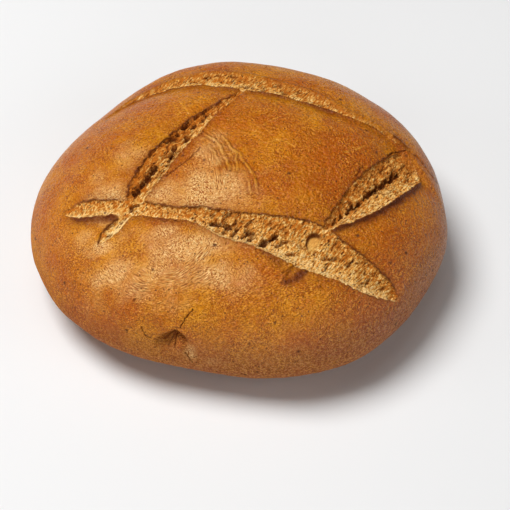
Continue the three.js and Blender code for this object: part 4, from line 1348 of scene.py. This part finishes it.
def bread_finish():
    """Crust and crumb mixed by the mesh's share of crumb, darkened by painted shade in the hollow, pockets
    and cracks; rough by the largest of crumb, painted shade, satin and matt crust; with a bump that adds
    up wrinkles, flecks, sand, felt and folds."""
    material = bpy.data.materials.new("crust_and_crumb")
    material.use_nodes = True
    tree = material.node_tree
    shader = tree.nodes["Principled BSDF"]
    where = add_node(tree, "ShaderNodeTexCoord").outputs["Object"]
    crumb, painted_shade = attribute(tree, "crumb"), attribute(tree, "painted_shade")
    fine = flecks(tree, where)
    sand = noise(tree, where, SAND_SIZE, detail=2, roughness=0.7)
    fibres = drawn_out(tree, where, math.atan2(FIBRE_RUN[1], FIBRE_RUN[0]), FIBRE_STRETCH)
    colour = mix_colour(tree, crumb, crust_colour(tree, where, fine, sand), crumb_colour(tree, fibres))
    # painted shade in the hollow, and in pockets, gaps and cracks
    hollow_shade = product(tree, attribute(tree, "hollow"), HOLLOW_PAINTED_SHADE)
    shaded = joined(tree, "MAXIMUM", hollow_shade, product(tree, painted_shade, DARK_SHADE))
    tree.links.new(mix_colour(tree, shaded, colour, DEEP_SHADE_BROWN), shader.inputs["Base Color"])
    satin = remap(tree, noise(tree, where, SATIN_SIZE, detail=3), SATIN_SPAN, SATIN_ROUGHNESS)
    matt_crust = product(tree, attribute(tree, "matt"), MATT_ROUGHNESS)
    tree.links.new(joined(tree, "MAXIMUM", crumb, painted_shade, satin, matt_crust), shader.inputs["Roughness"])
    shader.inputs["Specular IOR Level"].default_value = GLOSS
    felt = product(tree, noise(tree, fibres, FELT_SIZE, detail=2, roughness=0.6), crumb, FELT_LIFT)
    sandy = product(tree, sand, attribute(tree, "low"), SAND_LIFT)
    height = joined(tree, "ADD", crust_wrinkles(tree, where), fine, sandy, felt, fold_lines(tree))
    inputs = {"Height": height, "Strength": 1.0, "Distance": RELIEF_DEPTH * MM}
    bump = add_node(tree, "ShaderNodeBump", inputs)
    tree.links.new(bump.outputs["Normal"], shader.inputs["Normal"])
    return material


loaf.data.materials.append(bread_finish())
print("finish:", loaf.data.materials[0].name, "with", len(loaf.data.materials[0].node_tree.nodes), "nodes")

# %% [markdown]
# ## Floor and light
# The studio is a pale floor, a large lamp high above the loaf on its left, and four weaker ones: above, in
# front, on the left and on the right. The left one only fills the shade, so it isn't mirrored in the crust.
# A picture of a sky could light the loaf too, but lamps are easier to move one at a time.

# %% Floor and light
FLOOR_HALF = 3.0
PAPER = (0.84, 0.84, 0.84, 1)
PAPER_ROUGHNESS, PAPER_GLOSS = 0.9, 0.1
floor_mesh = bpy.data.meshes.new("floor")
floor_corners = [(FLOOR_HALF * x, FLOOR_HALF * y, 0) for x, y in ((-1, -1), (1, -1), (1, 1), (-1, 1))]
floor_mesh.from_pydata(floor_corners, [], [(0, 1, 2, 3)])
floor = bpy.data.objects.new("floor", floor_mesh)
bpy.context.collection.objects.link(floor)

paper = bpy.data.materials.new("studio_paper")
paper.use_nodes = True
paper_shader = paper.node_tree.nodes["Principled BSDF"]
paper_shader.inputs["Base Color"].default_value = PAPER
paper_shader.inputs["Roughness"].default_value = PAPER_ROUGHNESS
paper_shader.inputs["Specular IOR Level"].default_value = PAPER_GLOSS
floor.data.materials.append(paper)

LAMPS = (  # name, way to the lamp, distance in metres, size in metres, power in watts, mirrored in the crust
    ("key_lamp", (-0.35, 0.06, 0.93), 2.2, 1.2, 46.0, True),
    ("top_lamp", (0.0, 0.0, 1.0), 2.4, 1.2, 5.0, True),
    ("front_lamp", (0.0, -0.93, 0.37), 2.2, 1.0, 6.0, True),
    ("left_lamp", (-0.90, -0.22, 0.37), 2.2, 1.0, 5.2, False),
    ("right_lamp", (0.84, -0.40, 0.37), 2.2, 1.4, 7.6, True),
)
SKY_STRENGTH = 0.02


def hang_lamp(name, way, distance, size, power, mirrored):
    """A round area lamp that looks at the loaf from the given way."""
    lamp = bpy.data.objects.new(name, bpy.data.lights.new(name, "AREA"))
    lamp.data.shape = "DISK"
    lamp.data.size = size
    lamp.data.energy = power
    way = Vector(way).normalized()
    lamp.location = way * distance
    lamp.rotation_euler = way.to_track_quat("Z", "Y").to_euler()
    lamp.visible_glossy = mirrored
    bpy.context.collection.objects.link(lamp)


for lamp_facts in LAMPS:
    hang_lamp(*lamp_facts)

sky = bpy.data.worlds.new("soft_light")
sky.use_nodes = True
sky.node_tree.nodes["Background"].inputs["Color"].default_value = (1, 1, 1, 1)
sky.node_tree.nodes["Background"].inputs["Strength"].default_value = SKY_STRENGTH
bpy.context.scene.world = sky
bpy.context.scene.view_settings.view_transform = "Standard"
print(len(LAMPS), "lamps, sky", SKY_STRENGTH)

# %% [markdown]
# ## Camera
# The loaf is looked at from the front and from about 46 degrees above, through a long lens. The camera
# could be placed by eye; here it hangs on a line back from the loaf's middle, and aims a little to the
# right of it and below it, which puts the loaf where it lies in the picture.

# %% Camera
CAMERA_RISE = math.radians(46.3)
CAMERA_DISTANCE = 1.0
CAMERA_LENS = 124.1
LOOKED_ROUND = Vector((0, 0, 35)) * MM  # on the smooth loaf's axis, before it is set on the frame
AIM_RIGHT, AIM_DOWN = 7.12 * MM, 23.48 * MM

axis = Vector((to_frame[0] * MM, to_frame[1] * MM, 0))
centre = LOOKED_ROUND + axis
way_back = Vector((0, -math.cos(CAMERA_RISE), math.sin(CAMERA_RISE)))
picture_up = Vector((0, math.sin(CAMERA_RISE), math.cos(CAMERA_RISE)))
camera = bpy.data.objects.new("camera", bpy.data.cameras.new("camera"))
camera.data.lens = CAMERA_LENS
camera.location = centre + way_back * CAMERA_DISTANCE
aim = centre + Vector((AIM_RIGHT, 0, 0)) - picture_up * AIM_DOWN
camera.rotation_euler = (aim - camera.location).to_track_quat("-Z", "Y").to_euler()
bpy.context.collection.objects.link(camera)
bpy.context.scene.camera = camera
print("camera at", [round(x, 3) for x in camera.location])
